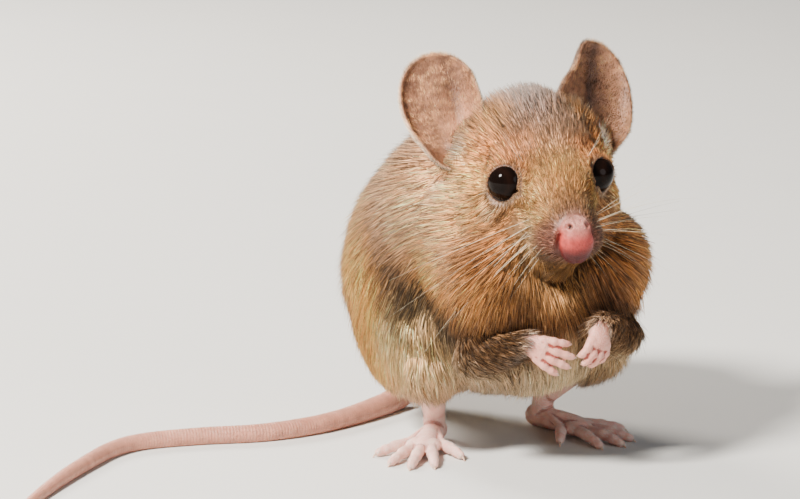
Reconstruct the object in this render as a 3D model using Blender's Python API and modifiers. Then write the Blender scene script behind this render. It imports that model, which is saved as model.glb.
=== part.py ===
"""A field mouse sitting up on its hind feet, as a life-size still model.

Metres, +Z up. The mouse faces -Y and its left side is +X. Sizes below are in millimetres and
mm() turns them into metres. The solids give the outline of the coat, out to the tips of the hair.
The body is modelled as overlapping masses of flesh and fur, merged into one smooth form, and
then parted by thin cuts into the head, neck, trunk and legs. The ears, paws, feet and tail are
made on their own and fitted against it.
"""

import math

import bmesh
import bpy
from mathutils import Euler, Matrix, Vector

# ---- driving dimensions, in millimetres ------------------------------------------------------
GAP = 0.3  # between neighbouring solids

# The head's frame: its origin lies midway between the eyes, -Y runs to the nose and +Z to the crown.
HEAD_AT = (-1.7, -0.7, 39.6)
HEAD_TURN = (15.0, -1.4, -10.0)  # degrees: nose down, tilt, and turn to the mouse's right

EYE_AT = (6.1, 0.4, 0.1)  # the left eyeball's centre, in the head's frame
EYE_RADIUS = 2.75
NOSE_AT = (0.0, -10.9, -3.7)
NOSE_RADII = (2.3, 1.7, 3.1)

EAR_NOTCH = (10.5, 6.1, 0.6)  # foot of the left ear, in the head's frame
EAR_TIP = (12.0, 18.3, 11.0)
EAR_FACES = {-1: (0.2, -0.67, 0.73), 1: (0.42, -0.66, 0.62)}  # the way each hollow looks
EAR_HALF_WIDTH = 5.5
EAR_DEPTH = 3.2  # of the hollow
EAR_THICK = 0.8

TAIL_RADII = (2.0, 1.45, 1.3, 1.1, 0.55)  # evenly spaced from the root to the tip
TAIL_PATH = (
    (-1.2, 38.4),
    (-4.4, 37.4),
    (-8.4, 35.1),
    (-15.0, 32.2),
    (-22.0, 30.2),
    (-29.9, 30.1),
    (-38.0, 32.5),
    (-46.0, 33.8),
    (-51.6, 32.1),
    (-57.4, 27.5),
    (-63.5, 21.9),
    (-69.8, 15.5),
    (-75.6, 8.6),
    (-80.4, 1.4),
)
TAIL_LIFT = 3.0  # of the root above the floor
TAIL_LENGTHS = 4

# Each forepaw: its wrist, the way its fingers point, the way its back looks, and the fingers' bend.
FOREPAWS = {
    "right": ((-7.6, -5.0, 18.7), (0.62, -0.75, -0.22), (-0.716, -0.581, 0.1), 30),
    "left": ((1.3, -8.9, 20.8), (-0.34, -0.34, -0.88), (0.2, -0.9, 0.35), 25),
}
# Each hind foot: its heel on the floor, the way its toes point, and its side.
HINDFEET = {
    "right": ((-7.4, 20.4), (-0.645, -0.764), -1),
    "left": ((8.0, 21.0), (0.25, -0.97), 1),
}

FLOOR_DIP = 0.25  # how deep soles, toes and tail are flattened where they rest


def mm(values):
    """A length, or a point, from millimetres to metres."""
    if isinstance(values, (int, float)):
        return values * 0.001
    return Vector(values) * 0.001


def radians(angles):
    """Degrees about X, Y and Z as an Euler turn."""
    return Euler([math.radians(a) for a in angles])


HEAD = Matrix.LocRotScale(Vector(HEAD_AT), radians(HEAD_TURN), None)


def in_head(point):
    """A point of the head's frame, in the mouse's."""
    return HEAD @ Vector(point)


def sided(point, side):
    """The point for the left side as it is, or mirrored for the right; side is 1 or -1."""
    return Vector((side * point[0], point[1], point[2]))


# ---- scene helpers ----------------------------------------------------------------------------
def clear_scene():
    """Removes whatever the file opened with."""
    for obj in list(bpy.data.objects):
        bpy.data.objects.remove(obj)


def collection(name):
    """A new collection under the scene's own."""
    made = bpy.data.collections.new(name)
    bpy.context.scene.collection.children.link(made)
    return made


def material(name, color, roughness):
    """A plain Principled finish."""
    made = bpy.data.materials.new(name)
    made.use_nodes = True
    shader = made.node_tree.nodes["Principled BSDF"]
    shader.inputs["Base Color"].default_value = (*color, 1.0)
    shader.inputs["Roughness"].default_value = roughness
    shader.inputs["Metallic"].default_value = 0.0
    return made


def add_object(name, shape, finish, group):
    """A new object with this mesh or bmesh."""
    if isinstance(shape, bmesh.types.BMesh):
        mesh = bpy.data.meshes.new(name)
        shape.to_mesh(mesh)
        shape.free()
        shape = mesh
    obj = bpy.data.objects.new(name, shape)
    if finish:
        obj.data.materials.clear()
        obj.data.materials.append(finish)
    group.objects.link(obj)
    return obj


def settle(obj):
    """Replaces the object's modifiers with their result."""
    graph = bpy.context.evaluated_depsgraph_get()
    mesh = bpy.data.meshes.new_from_object(obj.evaluated_get(graph))
    obj.modifiers.clear()
    obj.data = mesh
    return obj


def combine(obj, other, operation):
    """Cuts obj by other, joins them, or keeps what they share."""
    modifier = obj.modifiers.new(operation.lower(), "BOOLEAN")
    modifier.operation = operation
    modifier.solver = "EXACT"
    modifier.object = other
    return settle(obj)


def copy_of(obj, name, group):
    """A separate copy, with its own mesh."""
    made = obj.copy()
    made.data = obj.data.copy()
    made.name = name
    group.objects.link(made)
    return made


def grown(obj, by, group):
    """A helper copy of obj with its surface moved out by so many millimetres."""
    made = copy_of(obj, obj.name + "_grown", group)
    modifier = made.modifiers.new("grow", "DISPLACE")
    modifier.strength = mm(by)
    modifier.mid_level = 0.0
    return settle(made)


def keep_largest(obj):
    """Drops the crumbs that a cut may leave beside the main body."""
    bm = bmesh.new()
    bm.from_mesh(obj.data)
    left = set(bm.verts)
    islands = []
    while left:
        island, edge = set(), [left.pop()]
        while edge:
            vert = edge.pop()
            island.add(vert)
            for link in vert.link_edges:
                other = link.other_vert(vert)
                if other in left:
                    left.discard(other)
                    edge.append(other)
        islands.append(island)
    islands.sort(key=len)
    for island in islands[:-1]:
        bmesh.ops.delete(bm, geom=list(island), context="VERTS")
    bm.to_mesh(obj.data)
    bm.free()
    return obj


def fit_against(obj, neighbours, group):
    """Trims obj so that it meets each neighbour with the gap between them."""
    for neighbour in neighbours:
        combine(obj, grown(neighbour, GAP, group), "DIFFERENCE")
    return keep_largest(obj)


def half_space(name, point, normal, group, size=200.0):
    """A large box that fills everything on the far side of a plane; its normal points into the box."""
    turn = Vector(normal).normalized().to_track_quat("Z", "Y").to_matrix().to_4x4()
    place = Matrix.Translation(mm(point)) @ turn @ Matrix.Translation((0, 0, mm(size / 2)))
    bm = bmesh.new()
    bmesh.ops.create_cube(bm, size=mm(size), matrix=place)
    return add_object(name, bm, None, group)


# ---- masses -------------------------------------------------------------------------------------
def ball(center, radii, turn=(0, 0, 0), frame=None):
    """One mass: an ellipsoid, turned by degrees about its own centre, in the mouse's or another frame."""
    place = Matrix.LocRotScale(Vector(center), radians(turn), Vector(radii))
    return frame @ place if frame else place


def limb(points, radii, frame=None, steps=7):
    """A tapered round limb through points, as a close row of balls."""
    row = []
    for (a, b), (ra, rb) in zip(zip(points, points[1:]), zip(radii, radii[1:])):
        for k in range(steps + 1):
            share = k / steps
            radius = ra + (rb - ra) * share
            row.append(ball(Vector(a).lerp(Vector(b), share), (radius,) * 3, frame=frame))
    return row


def loft(keys, steps=6):
    """A smooth barrel: ellipsoids blended between neighbouring ones of (centre, radii)."""
    row = []
    for (center, radii), (next_center, next_radii) in zip(keys, keys[1:]):
        for k in range(steps + 1):
            share = k / steps
            row.append(ball(Vector(center).lerp(Vector(next_center), share), Vector(radii).lerp(Vector(next_radii), share)))
    return row


def both(masses):
    """The masses and their mirror images across the plane X = 0 of the frame they are in."""
    flip = Matrix.Diagonal((-1, 1, 1, 1))
    return masses + [flip @ place @ flip for place in masses]


def in_frame(frame, masses):
    """Masses carried into another frame."""
    return [frame @ place for place in masses]


def unit_ball():
    """Points and faces of a sphere of radius one, as plain lists."""
    bm = bmesh.new()
    bmesh.ops.create_uvsphere(bm, u_segments=24, v_segments=12, radius=1.0)
    points = [vert.co.copy() for vert in bm.verts]
    faces = [tuple(vert.index for vert in face.verts) for face in bm.faces]
    bm.free()
    return points, faces


def clay(name, masses, voxel, smooth, triangles, finish, group):
    """One smooth closed body: the masses merged by a voxel remesh, relaxed and thinned."""
    points, faces = unit_ball()
    vertices, polygons = [], []
    for place in masses:
        start = len(vertices)
        vertices += [mm(place @ point) for point in points]
        polygons += [tuple(start + i for i in face) for face in faces]
    mesh = bpy.data.meshes.new(name)
    mesh.from_pydata(vertices, [], polygons)
    obj = add_object(name, mesh, finish, group)
    merge = obj.modifiers.new("merge", "REMESH")
    merge.mode = "VOXEL"
    merge.voxel_size = mm(voxel)
    relax = obj.modifiers.new("relax", "SMOOTH")
    relax.factor = 0.5
    relax.iterations = smooth
    settle(obj)
    thin = obj.modifiers.new("thin", "DECIMATE")
    thin.ratio = min(1.0, triangles / (2 * len(obj.data.polygons)))
    return settle(obj)


# ---- body ------------------------------------------------------------------------------------------
def head_masses():
    """Skull, brow, cheeks, muzzle and jaw, in the mouse's frame."""
    middle = [
        ball((0, 7.0, 1.0), (9.2, 9.0, 7.6)),  # cranium
        ball((0, 0.0, 0.0), (6.6, 6.6, 4.9)),  # brow
        ball((0, -3.5, -7.4), (4.3, 5.2, 3.4)),  # lower jaw
        *limb([(0, 0.5, -2.6), (0, -9.2, -4.1)], [6.4, 3.3]),  # muzzle
    ]
    sides = [
        ball((5.4, 4.6, -4.6), (5.9, 7.4, 6.4)),  # cheek
        ball((2.4, -7.2, -5.0), (2.9, 3.2, 3.0)),  # whisker pad
        ball((5.3, 0.8, -0.2), (3.0, 3.4, 3.3)),  # socket
    ]
    return in_frame(HEAD, middle + both(sides))


def trunk_masses():
    """Neck, chest, back, belly, rump, upper arms and thighs."""
    nape = in_head((0.5, 9.5, -3.5))
    middle = [
        *in_frame(HEAD, [ball((0.6, 10.5, -5.2), (13.4, 8.5, 11.5))]),  # ruff
        *loft([  # nape, shoulders, back and rump
            (nape, (12.0, 9.5, 10.5)),
            ((-0.6, 10.5, 30.2), (15.4, 11.5, 14.6)),
            ((-0.8, 19.0, 28.8), (17.5, 14.8, 17.0)),
            ((-0.2, 25.0, 25.2), (17.6, 15.5, 16.9)),
            ((0.0, 28.6, 21.8), (16.6, 15.0, 15.4)),
        ]),
        *loft([  # chest and belly
            ((-1.4, 4.8, 20.6), (12.4, 10.0, 11.5)),
            ((-0.4, 13.5, 17.8), (14.2, 13.5, 10.6)),
            ((0.0, 23.0, 17.6), (14.5, 13.5, 10.6)),
        ]),
        *limb([(0, 33, 12.5), (-1.0, 38.3, 5.2)], [7.5, 2.6]),  # tail root
    ]
    sides = [
        ball((8.6, 4.4, 26.4), (7.4, 8.0, 8.6)),  # shoulder
        ball((11.6, 21.0, 16.0), (6.4, 12.5, 10.0), (0, 0, 6)),  # thigh
    ]
    return middle + both(sides)


def foreleg_points(side):
    """Shoulder, elbow and wrist; the left paw is carried higher and nearer the middle."""
    if side < 0:
        return [(-8.5, 3.5, 21.0), (-11.8, 2.2, 16.2), (-7.6, -5.0, 18.7)]
    return [(6.5, 2.5, 22.0), (9.2, -0.8, 17.6), (1.8, -8.5, 20.6)]


def hindleg_points(side):
    """Knee and ankle."""
    if side < 0:
        return [(-13.6, 11.5, 12.5), (-9.0, 18.5, 4.6)]
    return [(12.8, 10.5, 12.5), (9.0, 19.0, 4.6)]


def body(finish, group):
    """Head, trunk and legs as one smooth form."""
    masses = head_masses() + trunk_masses()
    for side in (-1, 1):
        masses += limb(foreleg_points(side), [4.4, 3.5, 2.1])
        masses += limb(hindleg_points(side), [4.6, 2.3])
    return clay("whole", masses, 0.6, 14, 3000, finish, group)


# ---- ears, eyes and nose ----------------------------------------------------------------------
def axes_frame(origin, along, facing):
    """A frame at origin with +Y along one direction and +Z as near as it can be to another."""
    y = Vector(along).normalized()
    z = Vector(facing)
    z = (z - z.dot(y) * y).normalized()
    turn = Matrix((y.cross(z), y, z)).transposed().to_4x4()
    return Matrix.Translation(Vector(origin)) @ turn


def ear(side, finish, group):
    """A hollow, egg-shaped ear: the lower half of an ellipsoid's shell, broad above and deep below."""
    notch, tip = (in_head(sided(point, side)) for point in (EAR_NOTCH, EAR_TIP))
    face = HEAD.to_3x3() @ sided(EAR_FACES[side], side)
    half_height = (tip - notch).length / 2
    frame = axes_frame((notch + tip) / 2, tip - notch, face)
    bm = bmesh.new()
    bmesh.ops.create_uvsphere(bm, u_segments=14, v_segments=10, radius=1.0)
    upper = [v for v in bm.verts if v.co.z > 0.01]
    bmesh.ops.delete(bm, geom=upper, context="VERTS")
    for vert in bm.verts:
        x, y, z = vert.co
        vert.co = (
            EAR_HALF_WIDTH * x * (1.0 + 0.13 * y),
            half_height * y,
            EAR_DEPTH * z * (1.0 - 0.35 * y),
        )
    bm.transform(Matrix.Scale(0.001, 4) @ frame)
    name = "ear_right" if side < 0 else "ear_left"
    obj = add_object(name, bm, finish, group)
    shell = obj.modifiers.new("shell", "SOLIDIFY")
    shell.thickness = mm(EAR_THICK)
    shell.offset = 0.0
    return settle(obj)


def eye(side, finish, group):
    """An eyeball."""
    bm = bmesh.new()
    place = Matrix.Translation(mm(in_head(sided(EYE_AT, side))))
    bmesh.ops.create_uvsphere(bm, u_segments=12, v_segments=8, radius=mm(EYE_RADIUS), matrix=place)
    return add_object("eye_right" if side < 0 else "eye_left", bm, finish, group)


def nose(finish, group):
    """The bare pad at the tip of the muzzle, with its two lobes."""
    masses = [ball(NOSE_AT, NOSE_RADII), *both([ball((1.1, -11.3, -3.4), (1.2, 1.2, 1.6))])]
    return clay("nose", in_frame(HEAD, masses), 0.2, 6, 170, finish, group)


# ---- paws and feet ------------------------------------------------------------------------------
def digit(root, spread, length, bend, radii, frame):
    """A finger or toe of three bones: it leaves root at an angle across the palm and bends down."""
    heading = math.radians(spread)
    point, pitch = Vector(root), 0.0
    points = [point]
    for share, turn in ((0.45, 0.3), (0.35, 1.0), (0.2, 1.5)):
        pitch = math.radians(bend) * turn
        step = Vector((math.sin(heading) * math.cos(pitch), math.cos(heading) * math.cos(pitch), -math.sin(pitch)))
        point = point + step * length * share
        points.append(point)
    return limb(points, radii, frame, steps=5)


def forepaw(name, frame, bend, finish, group):
    """A hand of four fingers; in its frame +Y runs to the fingertips and +Z out of its back."""
    masses = [
        ball((0, 1.5, 0), (1.75, 1.9, 1.05), frame=frame),  # palm
        *limb([(0, -1.6, 0), (0, 0.8, 0)], [1.25, 1.2], frame),  # wrist
    ]
    for across, length, spread in ((-1.35, 3.1, -20), (-0.45, 3.9, -5), (0.5, 3.8, 7), (1.35, 3.0, 22)):
        root = (across, 2.3 - abs(across) * 0.35, 0.05)
        masses += digit(root, spread, length, bend, (0.68, 0.6, 0.55, 0.36), frame)
    return clay(name, masses, 0.22, 3, 330, finish, group)


def hindfoot(name, heel, toward, side, finish, group):
    """A long flat foot of five toes; in its frame +Y runs to the toes and +X to the mouse's left."""
    frame = axes_frame((*heel, 0.0), (*toward, 0.0), (0, 0, 1))
    masses = [
        *limb([(0, 0.8, 1.5), (0, 8.5, 1.5), (0, 11.0, 1.2)], [1.75, 1.6, 1.3], frame),  # sole
        *limb([(0, 2.2, 2.2), (0, 3.2, 5.6)], [1.8, 2.0], frame),  # ankle
        ball((0, 9.6, 1.3), (2.7, 2.5, 1.25), frame=frame),  # ball of the foot
    ]
    toes = ((-2.3, 8.2, 4.6, -46), (-1.3, 10.6, 6.4, -17), (0.0, 11.2, 6.9, 0), (1.3, 10.6, 6.4, 17), (2.3, 8.2, 5.2, 42))
    for across, along, length, spread in toes:
        across, spread = -side * across, -side * spread
        masses += digit((across, along, 1.15), spread, length, 9, (0.85, 0.72, 0.66, 0.42), frame)
    return clay(name, masses, 0.25, 3, 400, finish, group)


# ---- tail -------------------------------------------------------------------------------------------
def smooth_path(points, count):
    """Evenly numbered points on one smooth curve through the given ones."""
    found = []
    for k in range(count):
        place = k / (count - 1) * (len(points) - 1)
        i = min(int(place), len(points) - 2)
        t = place - i
        p0, p1, p2, p3 = (Vector(points[min(max(j, 0), len(points) - 1)]) for j in range(i - 1, i + 3))
        found.append(0.5 * (2 * p1 + (p2 - p0) * t + (2 * p0 - 5 * p1 + 4 * p2 - p3) * t * t + (3 * p1 - p0 - 3 * p2 + p3) * t**3))
    return found


def graded(values, share):
    """The value at a share of the way along evenly spaced ones."""
    place = share * (len(values) - 1)
    i = min(int(place), len(values) - 2)
    return values[i] + (values[i + 1] - values[i]) * (place - i)


def tube(name, points, radii, finish, group):
    """A closed tapered tube along points: a bevelled curve turned into a mesh, its caps welded on."""
    curve = bpy.data.curves.new(name, "CURVE")
    curve.dimensions = "3D"
    curve.bevel_depth = 1.0
    curve.bevel_resolution = 2
    curve.use_fill_caps = True
    spline = curve.splines.new("POLY")
    spline.points.add(len(points) - 1)
    for knot, point, radius in zip(spline.points, points, radii):
        knot.co = (*mm(point), 1.0)
        knot.radius = mm(radius)
    route = bpy.data.objects.new(name + "_route", curve)
    group.objects.link(route)
    graph = bpy.context.evaluated_depsgraph_get()
    mesh = bpy.data.meshes.new_from_object(route.evaluated_get(graph))
    bpy.data.objects.remove(route)
    bm = bmesh.new()
    bm.from_mesh(mesh)
    bmesh.ops.remove_doubles(bm, verts=bm.verts, dist=1e-6)
    bmesh.ops.recalc_face_normals(bm, faces=bm.faces)
    return add_object(name, bm, finish, group)


def tail(finish, group):
    """The tail in a few lengths, each a tapered tube along its share of the path."""
    path = smooth_path(TAIL_PATH, 33)
    last = len(path) - 1
    points, radii = [], []
    for k, (x, y) in enumerate(path):
        share = k / last
        radius = graded(TAIL_RADII, share)
        lift = TAIL_LIFT * max(0.0, 1.0 - share / 0.1) ** 2
        points.append(Vector((x, y, radius - FLOOR_DIP + lift)))
        radii.append(radius)
    pieces = []
    for k in range(TAIL_LENGTHS):
        first, end = k * last // TAIL_LENGTHS, (k + 1) * last // TAIL_LENGTHS
        row = points[first : end + 1]
        if k < TAIL_LENGTHS - 1:
            row[-1] = row[-1] + (row[-2] - row[-1]).normalized() * GAP
        pieces.append(tube(f"tail_{k + 1}", row, radii[first : end + 1], finish, group))
    return pieces


# ---- parting and fitting --------------------------------------------------------------------------
def part_body(whole, group, helpers):
    """Parts the whole body by thin cuts into the head, neck, trunk and four legs."""
    def region(name, masses, triangles=140):
        return clay(name, masses, 0.9, 4, triangles, None, helpers)

    def take(name, source, space):
        piece = combine(copy_of(source, name, group), space, "INTERSECT")
        combine(source, grown(space, GAP, helpers), "DIFFERENCE")
        return keep_largest(piece)

    pieces = {}
    face = region("head_region", in_frame(HEAD, [ball((0, -0.5, -1.0), (17.0, 14.5, 13.2))]))
    pieces["head"] = take("head", whole, face)
    throat = region("neck_region", in_frame(HEAD, [ball((0, 3.0, -2.5), (25.0, 18.5, 19.0))]))
    for side, word in ((-1, "right"), (1, "left")):
        arm = limb(foreleg_points(side), [5.2, 4.4, 3.2])
        name = f"foreleg_{word}"
        pieces[name] = take(name, whole, region(name + "_region", arm))
        leg = [ball(sided((12.6, 17.5, 12.0), side), (7.0, 10.5, 9.5)), *limb(hindleg_points(side), [5.4, 3.4])]
        name = f"hindleg_{word}"
        pieces[name] = take(name, whole, region(name + "_region", leg))
    pieces["neck"] = take("neck", whole, throat)
    whole.name = whole.data.name = "trunk"
    pieces["trunk"] = keep_largest(whole)
    return pieces


def flatten(obj, floor):
    """Cuts away what lies below the floor, leaving a flat where the piece rests."""
    return combine(obj, floor, "DIFFERENCE")


def rest_on_origin(objects):
    """Moves the whole model so that the middle of its bounding box's underside is the origin."""
    points = [vert.co for obj in objects for vert in obj.data.vertices]
    low = [min(p[i] for p in points) for i in range(3)]
    high = [max(p[i] for p in points) for i in range(3)]
    shift = Matrix.Translation((-(low[0] + high[0]) / 2, -(low[1] + high[1]) / 2, -low[2]))
    for obj in objects:
        obj.data.transform(shift)
    return shift


def main():
    """Builds every piece, fits each against its neighbours and rests the mouse on the floor."""
    clear_scene()
    parts = collection("field_mouse")
    helpers = collection("helpers")
    coat = material("coat_brown", (0.36, 0.22, 0.12), 0.9)
    pink = material("skin_pink", (0.75, 0.45, 0.38), 0.55)
    black = material("eye_black", (0.01, 0.01, 0.012), 0.05)
    floor = half_space("below_floor", (0, 0, 0), (0, 0, -1), helpers)

    pieces = part_body(body(coat, parts), parts, helpers)
    for side, word in ((-1, "right"), (1, "left")):
        hollow = ear(side, pink, parts)
        pieces[hollow.name] = fit_against(hollow, [pieces["head"], pieces["neck"], pieces["trunk"]], helpers)
        eyeball = eye(side, black, parts)
        combine(pieces["head"], grown(eyeball, GAP, helpers), "DIFFERENCE")
        pieces[eyeball.name] = eyeball
    pad = nose(pink, parts)
    combine(pieces["head"], grown(pad, GAP, helpers), "DIFFERENCE")
    keep_largest(pieces["head"])
    pieces[pad.name] = pad
    for word, (wrist, toward, back, bend) in FOREPAWS.items():
        paw = forepaw(f"forepaw_{word}", axes_frame(wrist, toward, back), bend, pink, parts)
        pieces[paw.name] = fit_against(paw, [pieces[f"foreleg_{word}"], pieces["trunk"]], helpers)
    for word, (heel, toward, side) in HINDFEET.items():
        foot = hindfoot(f"hindfoot_{word}", heel, toward, side, pink, parts)
        fit_against(foot, [pieces[f"hindleg_{word}"], pieces["trunk"]], helpers)
        pieces[foot.name] = flatten(foot, floor)
    for length in tail(pink, parts):
        pieces[length.name] = flatten(length, floor)
    fit_against(pieces["tail_1"], [pieces["trunk"]], helpers)

    rest_on_origin(list(pieces.values()))
    for helper in helpers.objects:
        helper.hide_render = True
        helper.display_type = "WIRE"


main()
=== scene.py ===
"""The looks of a life-size field mouse: one skin with its coat, eyes, claws and whiskers.

Shapes are worked out in millimetres in the mouse's own frame: it faces -Y, its left is +X, the
floor is Z = 0 and its trunk's midline is X = 0. They are turned into metres in the model's frame
when they become meshes. The skin lies inside the solids by the coat's depth, and the coat's hairs
reach out to the solids' surface.
"""

import logging
import math
from collections.abc import Callable, Sequence
from dataclasses import dataclass, field
from enum import Enum

import bpy
import numpy as np
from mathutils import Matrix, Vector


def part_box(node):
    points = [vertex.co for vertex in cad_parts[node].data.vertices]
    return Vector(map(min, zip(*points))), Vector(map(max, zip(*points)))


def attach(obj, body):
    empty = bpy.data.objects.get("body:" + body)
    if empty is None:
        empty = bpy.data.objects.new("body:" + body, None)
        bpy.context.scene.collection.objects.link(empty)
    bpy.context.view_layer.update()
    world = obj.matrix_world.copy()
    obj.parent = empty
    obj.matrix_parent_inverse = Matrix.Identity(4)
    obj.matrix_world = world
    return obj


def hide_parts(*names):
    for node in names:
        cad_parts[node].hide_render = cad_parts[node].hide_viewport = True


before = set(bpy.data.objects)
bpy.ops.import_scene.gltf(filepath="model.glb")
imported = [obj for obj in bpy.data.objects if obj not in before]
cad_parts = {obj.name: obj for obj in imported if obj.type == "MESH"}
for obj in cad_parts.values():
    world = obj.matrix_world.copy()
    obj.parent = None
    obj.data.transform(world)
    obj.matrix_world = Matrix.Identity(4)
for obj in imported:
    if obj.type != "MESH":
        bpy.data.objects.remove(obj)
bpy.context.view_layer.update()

import openvdb
from mathutils import Euler, Matrix, Vector

LOG = logging.getLogger("field_mouse")
Array = np.ndarray
Numbers = Sequence[float]
SIDES = {"right": -1, "left": 1}


# ---- numbers, frames and fields ----
def unit(vectors: Array) -> Array:
    """Vectors scaled to length one along the last axis."""
    length = np.linalg.norm(vectors, axis=-1, keepdims=True)
    return vectors / np.maximum(length, 1e-9)


def smooth(low: float | Array, high: float | Array, value: Array) -> Array:
    """A soft step: zero at low, one at high, and 3t^2 - 2t^3 between them."""
    t = np.clip((value - low) / (high - low), 0.0, 1.0)
    return t * t * (3.0 - 2.0 * t)


def hump(value: Array, width: float) -> Array:
    """A bell: one at zero, exp(-(value / width)^2) away from it."""
    return np.exp(-((value / width) ** 2))


def dot(a: Array, b: Array) -> Array:
    """Scalar products along the last axis."""
    return (a * b).sum(axis=-1)


def mixed(a: Array, b: Array, share: Array) -> Array:
    """Rows of a turned into rows of b by a share for each row."""
    return a * (1.0 - share[:, None]) + b * share[:, None]


def mirrored(places: Sequence, side: int) -> Array:
    """Places or directions on the left of the head or body, carried to a side."""
    return np.array(places, float) * (side, 1, 1)


def turn(degrees: Numbers, at: Numbers = (0, 0, 0)) -> Array:
    """A frame as a 4 x 4 array, from degrees about X, Y and Z and the place of its origin."""
    angles = Euler([math.radians(angle) for angle in degrees])
    return np.array(Matrix.LocRotScale(Vector(at), angles, None))


def axes_frame(origin: Numbers, along: Numbers, facing: Numbers) -> Array:
    """A frame with +Y along one direction and +Z as near as it can be to another.

    Args:
        origin: its place.
        along: where +Y points.
        facing: where +Z leans.

    Returns:
        The frame, 4 x 4.
    """
    y = unit(np.array(along, float))
    z = np.array(facing, float)
    z = unit(z - dot(z, y) * y)
    made = np.eye(4)
    made[:3, :3] = np.column_stack([np.cross(y, z), y, z])
    made[:3, 3] = origin
    return made


def put(at: Array, points: Array) -> Array:
    """Points of a frame, in the mouse's."""
    return np.asarray(points, float) @ at[:3, :3].T + at[:3, 3]


def seen_from(at: Array, points: Array) -> Array:
    """Points of the mouse, in a frame."""
    return (points - at[:3, 3]) @ at[:3, :3]


def lattice(cells: Array, seed: int) -> Array:
    """A repeatable number from 0 to 1 for each whole-numbered cell, its indices mixed by large primes.

    Args:
        cells: whole numbers, three to a cell.
        seed: which of many patterns.

    Returns:
        One number for each cell.
    """
    i = cells.astype(np.int64)
    mixed_up = (i[..., 0] * 73856093) ^ (i[..., 1] * 19349663) ^ (i[..., 2] * 83492791)
    mixed_up = mixed_up ^ (seed * 2654435761)
    mixed_up = (mixed_up ^ (mixed_up >> 13)) * 1274126177
    return ((mixed_up ^ (mixed_up >> 16)) & 0xFFFFFF) / float(0xFFFFFF)


def corners(place: Array) -> list[tuple[Array, Array]]:
    """The eight grid corners round each place, given in cells, and each corner's share by closeness.

    Args:
        place: places in cells.

    Returns:
        The cells, and the shares.
    """
    first = np.floor(place).astype(int)
    t = place - first
    found = []
    for corner in range(8):
        step = np.array([corner & 1, corner >> 1 & 1, corner >> 2 & 1])
        found.append((first + step, np.prod(np.where(step, t, 1.0 - t), axis=1)))
    return found


def noise(points: Array, size: float, seed: int = 0) -> Array:
    """Soft noise from -1 to 1: numbers at a grid's corners, blended by closeness.

    Args:
        points: places in millimetres.
        size: the width of a cell.
        seed: which of many noises.

    Returns:
        One number for each point.
    """
    total = np.zeros(len(points))
    for cell, share in corners(points / size + 100.0):
        total += share * lattice(cell, seed)
    return total * 2.0 - 1.0


def line_distance(points: Array, path: Array) -> tuple[Array, Array]:
    """How far each point is from a bent line, and how far along the line its nearest place lies.

    Args:
        points: places in millimetres.
        path: the line's knots.

    Returns:
        The distances, and the lengths along the line.
    """
    best = np.full(len(points), np.inf)
    along = np.zeros(len(points))
    start = 0.0
    for a, b in zip(path[:-1], path[1:]):
        length = np.linalg.norm(b - a)
        t = np.clip(((points - a) @ (b - a)) / max(length**2, 1e-9), 0.0, 1.0)
        away = np.linalg.norm(points - (a + t[:, None] * (b - a)), axis=1)
        nearer = away < best
        best = np.where(nearer, away, best)
        along = np.where(nearer, start + t * length, along)
        start += length
    return best, along


def curve_through(knots: Sequence[Numbers], count: int) -> Array:
    """Points on a smooth curve through knots: each span is a cubic sloped by its neighbours.

    Args:
        knots: the places it passes.
        count: how many points.

    Returns:
        The points.
    """
    p = np.array(knots, float)
    place = np.linspace(0, len(p) - 1, count)
    i = np.minimum(place.astype(int), len(p) - 2)
    t = (place - i)[:, None]
    a, b, c, d = (p[np.clip(i + k, 0, len(p) - 1)] for k in (-1, 0, 1, 2))
    return 0.5 * (2 * b + (c - a) * t + (2 * a - 5 * b + 4 * c - d) * t**2 + (3 * b - a - 3 * c + d) * t**3)


def linear(code: str) -> Array:
    """A colour's six-digit code as linear light."""
    parts = np.array([int(code[i : i + 2], 16) for i in (0, 2, 4)]) / 255.0
    return np.where(parts <= 0.04045, parts / 12.92, ((parts + 0.055) / 1.055) ** 2.4)


def deepened(colors: Array, depth: float = 1.34) -> Array:
    """Linear colours drawn away from their own grey, no channel below a fifth of it, against paling."""
    gray = (colors @ np.array([0.21, 0.72, 0.07]))[..., None]
    return np.clip(gray + (colors - gray) * depth, 0.20 * gray, 1.0)


# ---- the mouse's build: places and sizes that the solids share ----
HEAD = turn((15.0, -1.4, -10.0), (-1.7, -0.7, 39.6))  # origin midway between the eyes, -Y to the nose
EYE_AT = np.array([6.1, 0.4, 0.1])  # the left eyeball, in the head's frame
EYE_RADIUS = 2.75
GAZE = unit(np.array([0.80, -0.55, 0.24]))  # the way the left eye looks
LID_AXIS = unit(np.array([0.50, -0.86, 0.18]))  # the middle of the left lids' opening
LID_DEPTH = 0.42  # lid and its fur over the eyeball

EAR_NOTCH = np.array([10.5, 6.1, 0.6])
EAR_TIP = np.array([12.0, 18.3, 11.0])
EAR_FACES = {"right": (0.2, -0.67, 0.73), "left": (0.42, -0.66, 0.62)}
EAR_HALF_WIDTH = 5.5
EAR_DEPTH = 3.2

TAIL_KNOTS = (
    (-1.2, 38.4), (-4.4, 37.4), (-8.4, 35.1), (-15.0, 32.2), (-22.0, 30.2), (-29.9, 30.1), (-38.0, 32.5),
    (-46.0, 33.8), (-51.6, 32.1), (-57.4, 27.5), (-63.5, 21.9), (-69.8, 15.5), (-75.6, 8.6), (-80.4, 1.4),
)
TAIL_RADII = (2.0, 1.45, 1.3, 1.1, 0.55)
TAIL_LIFT = 3.0
FLOOR_DIP = 0.25

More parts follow.
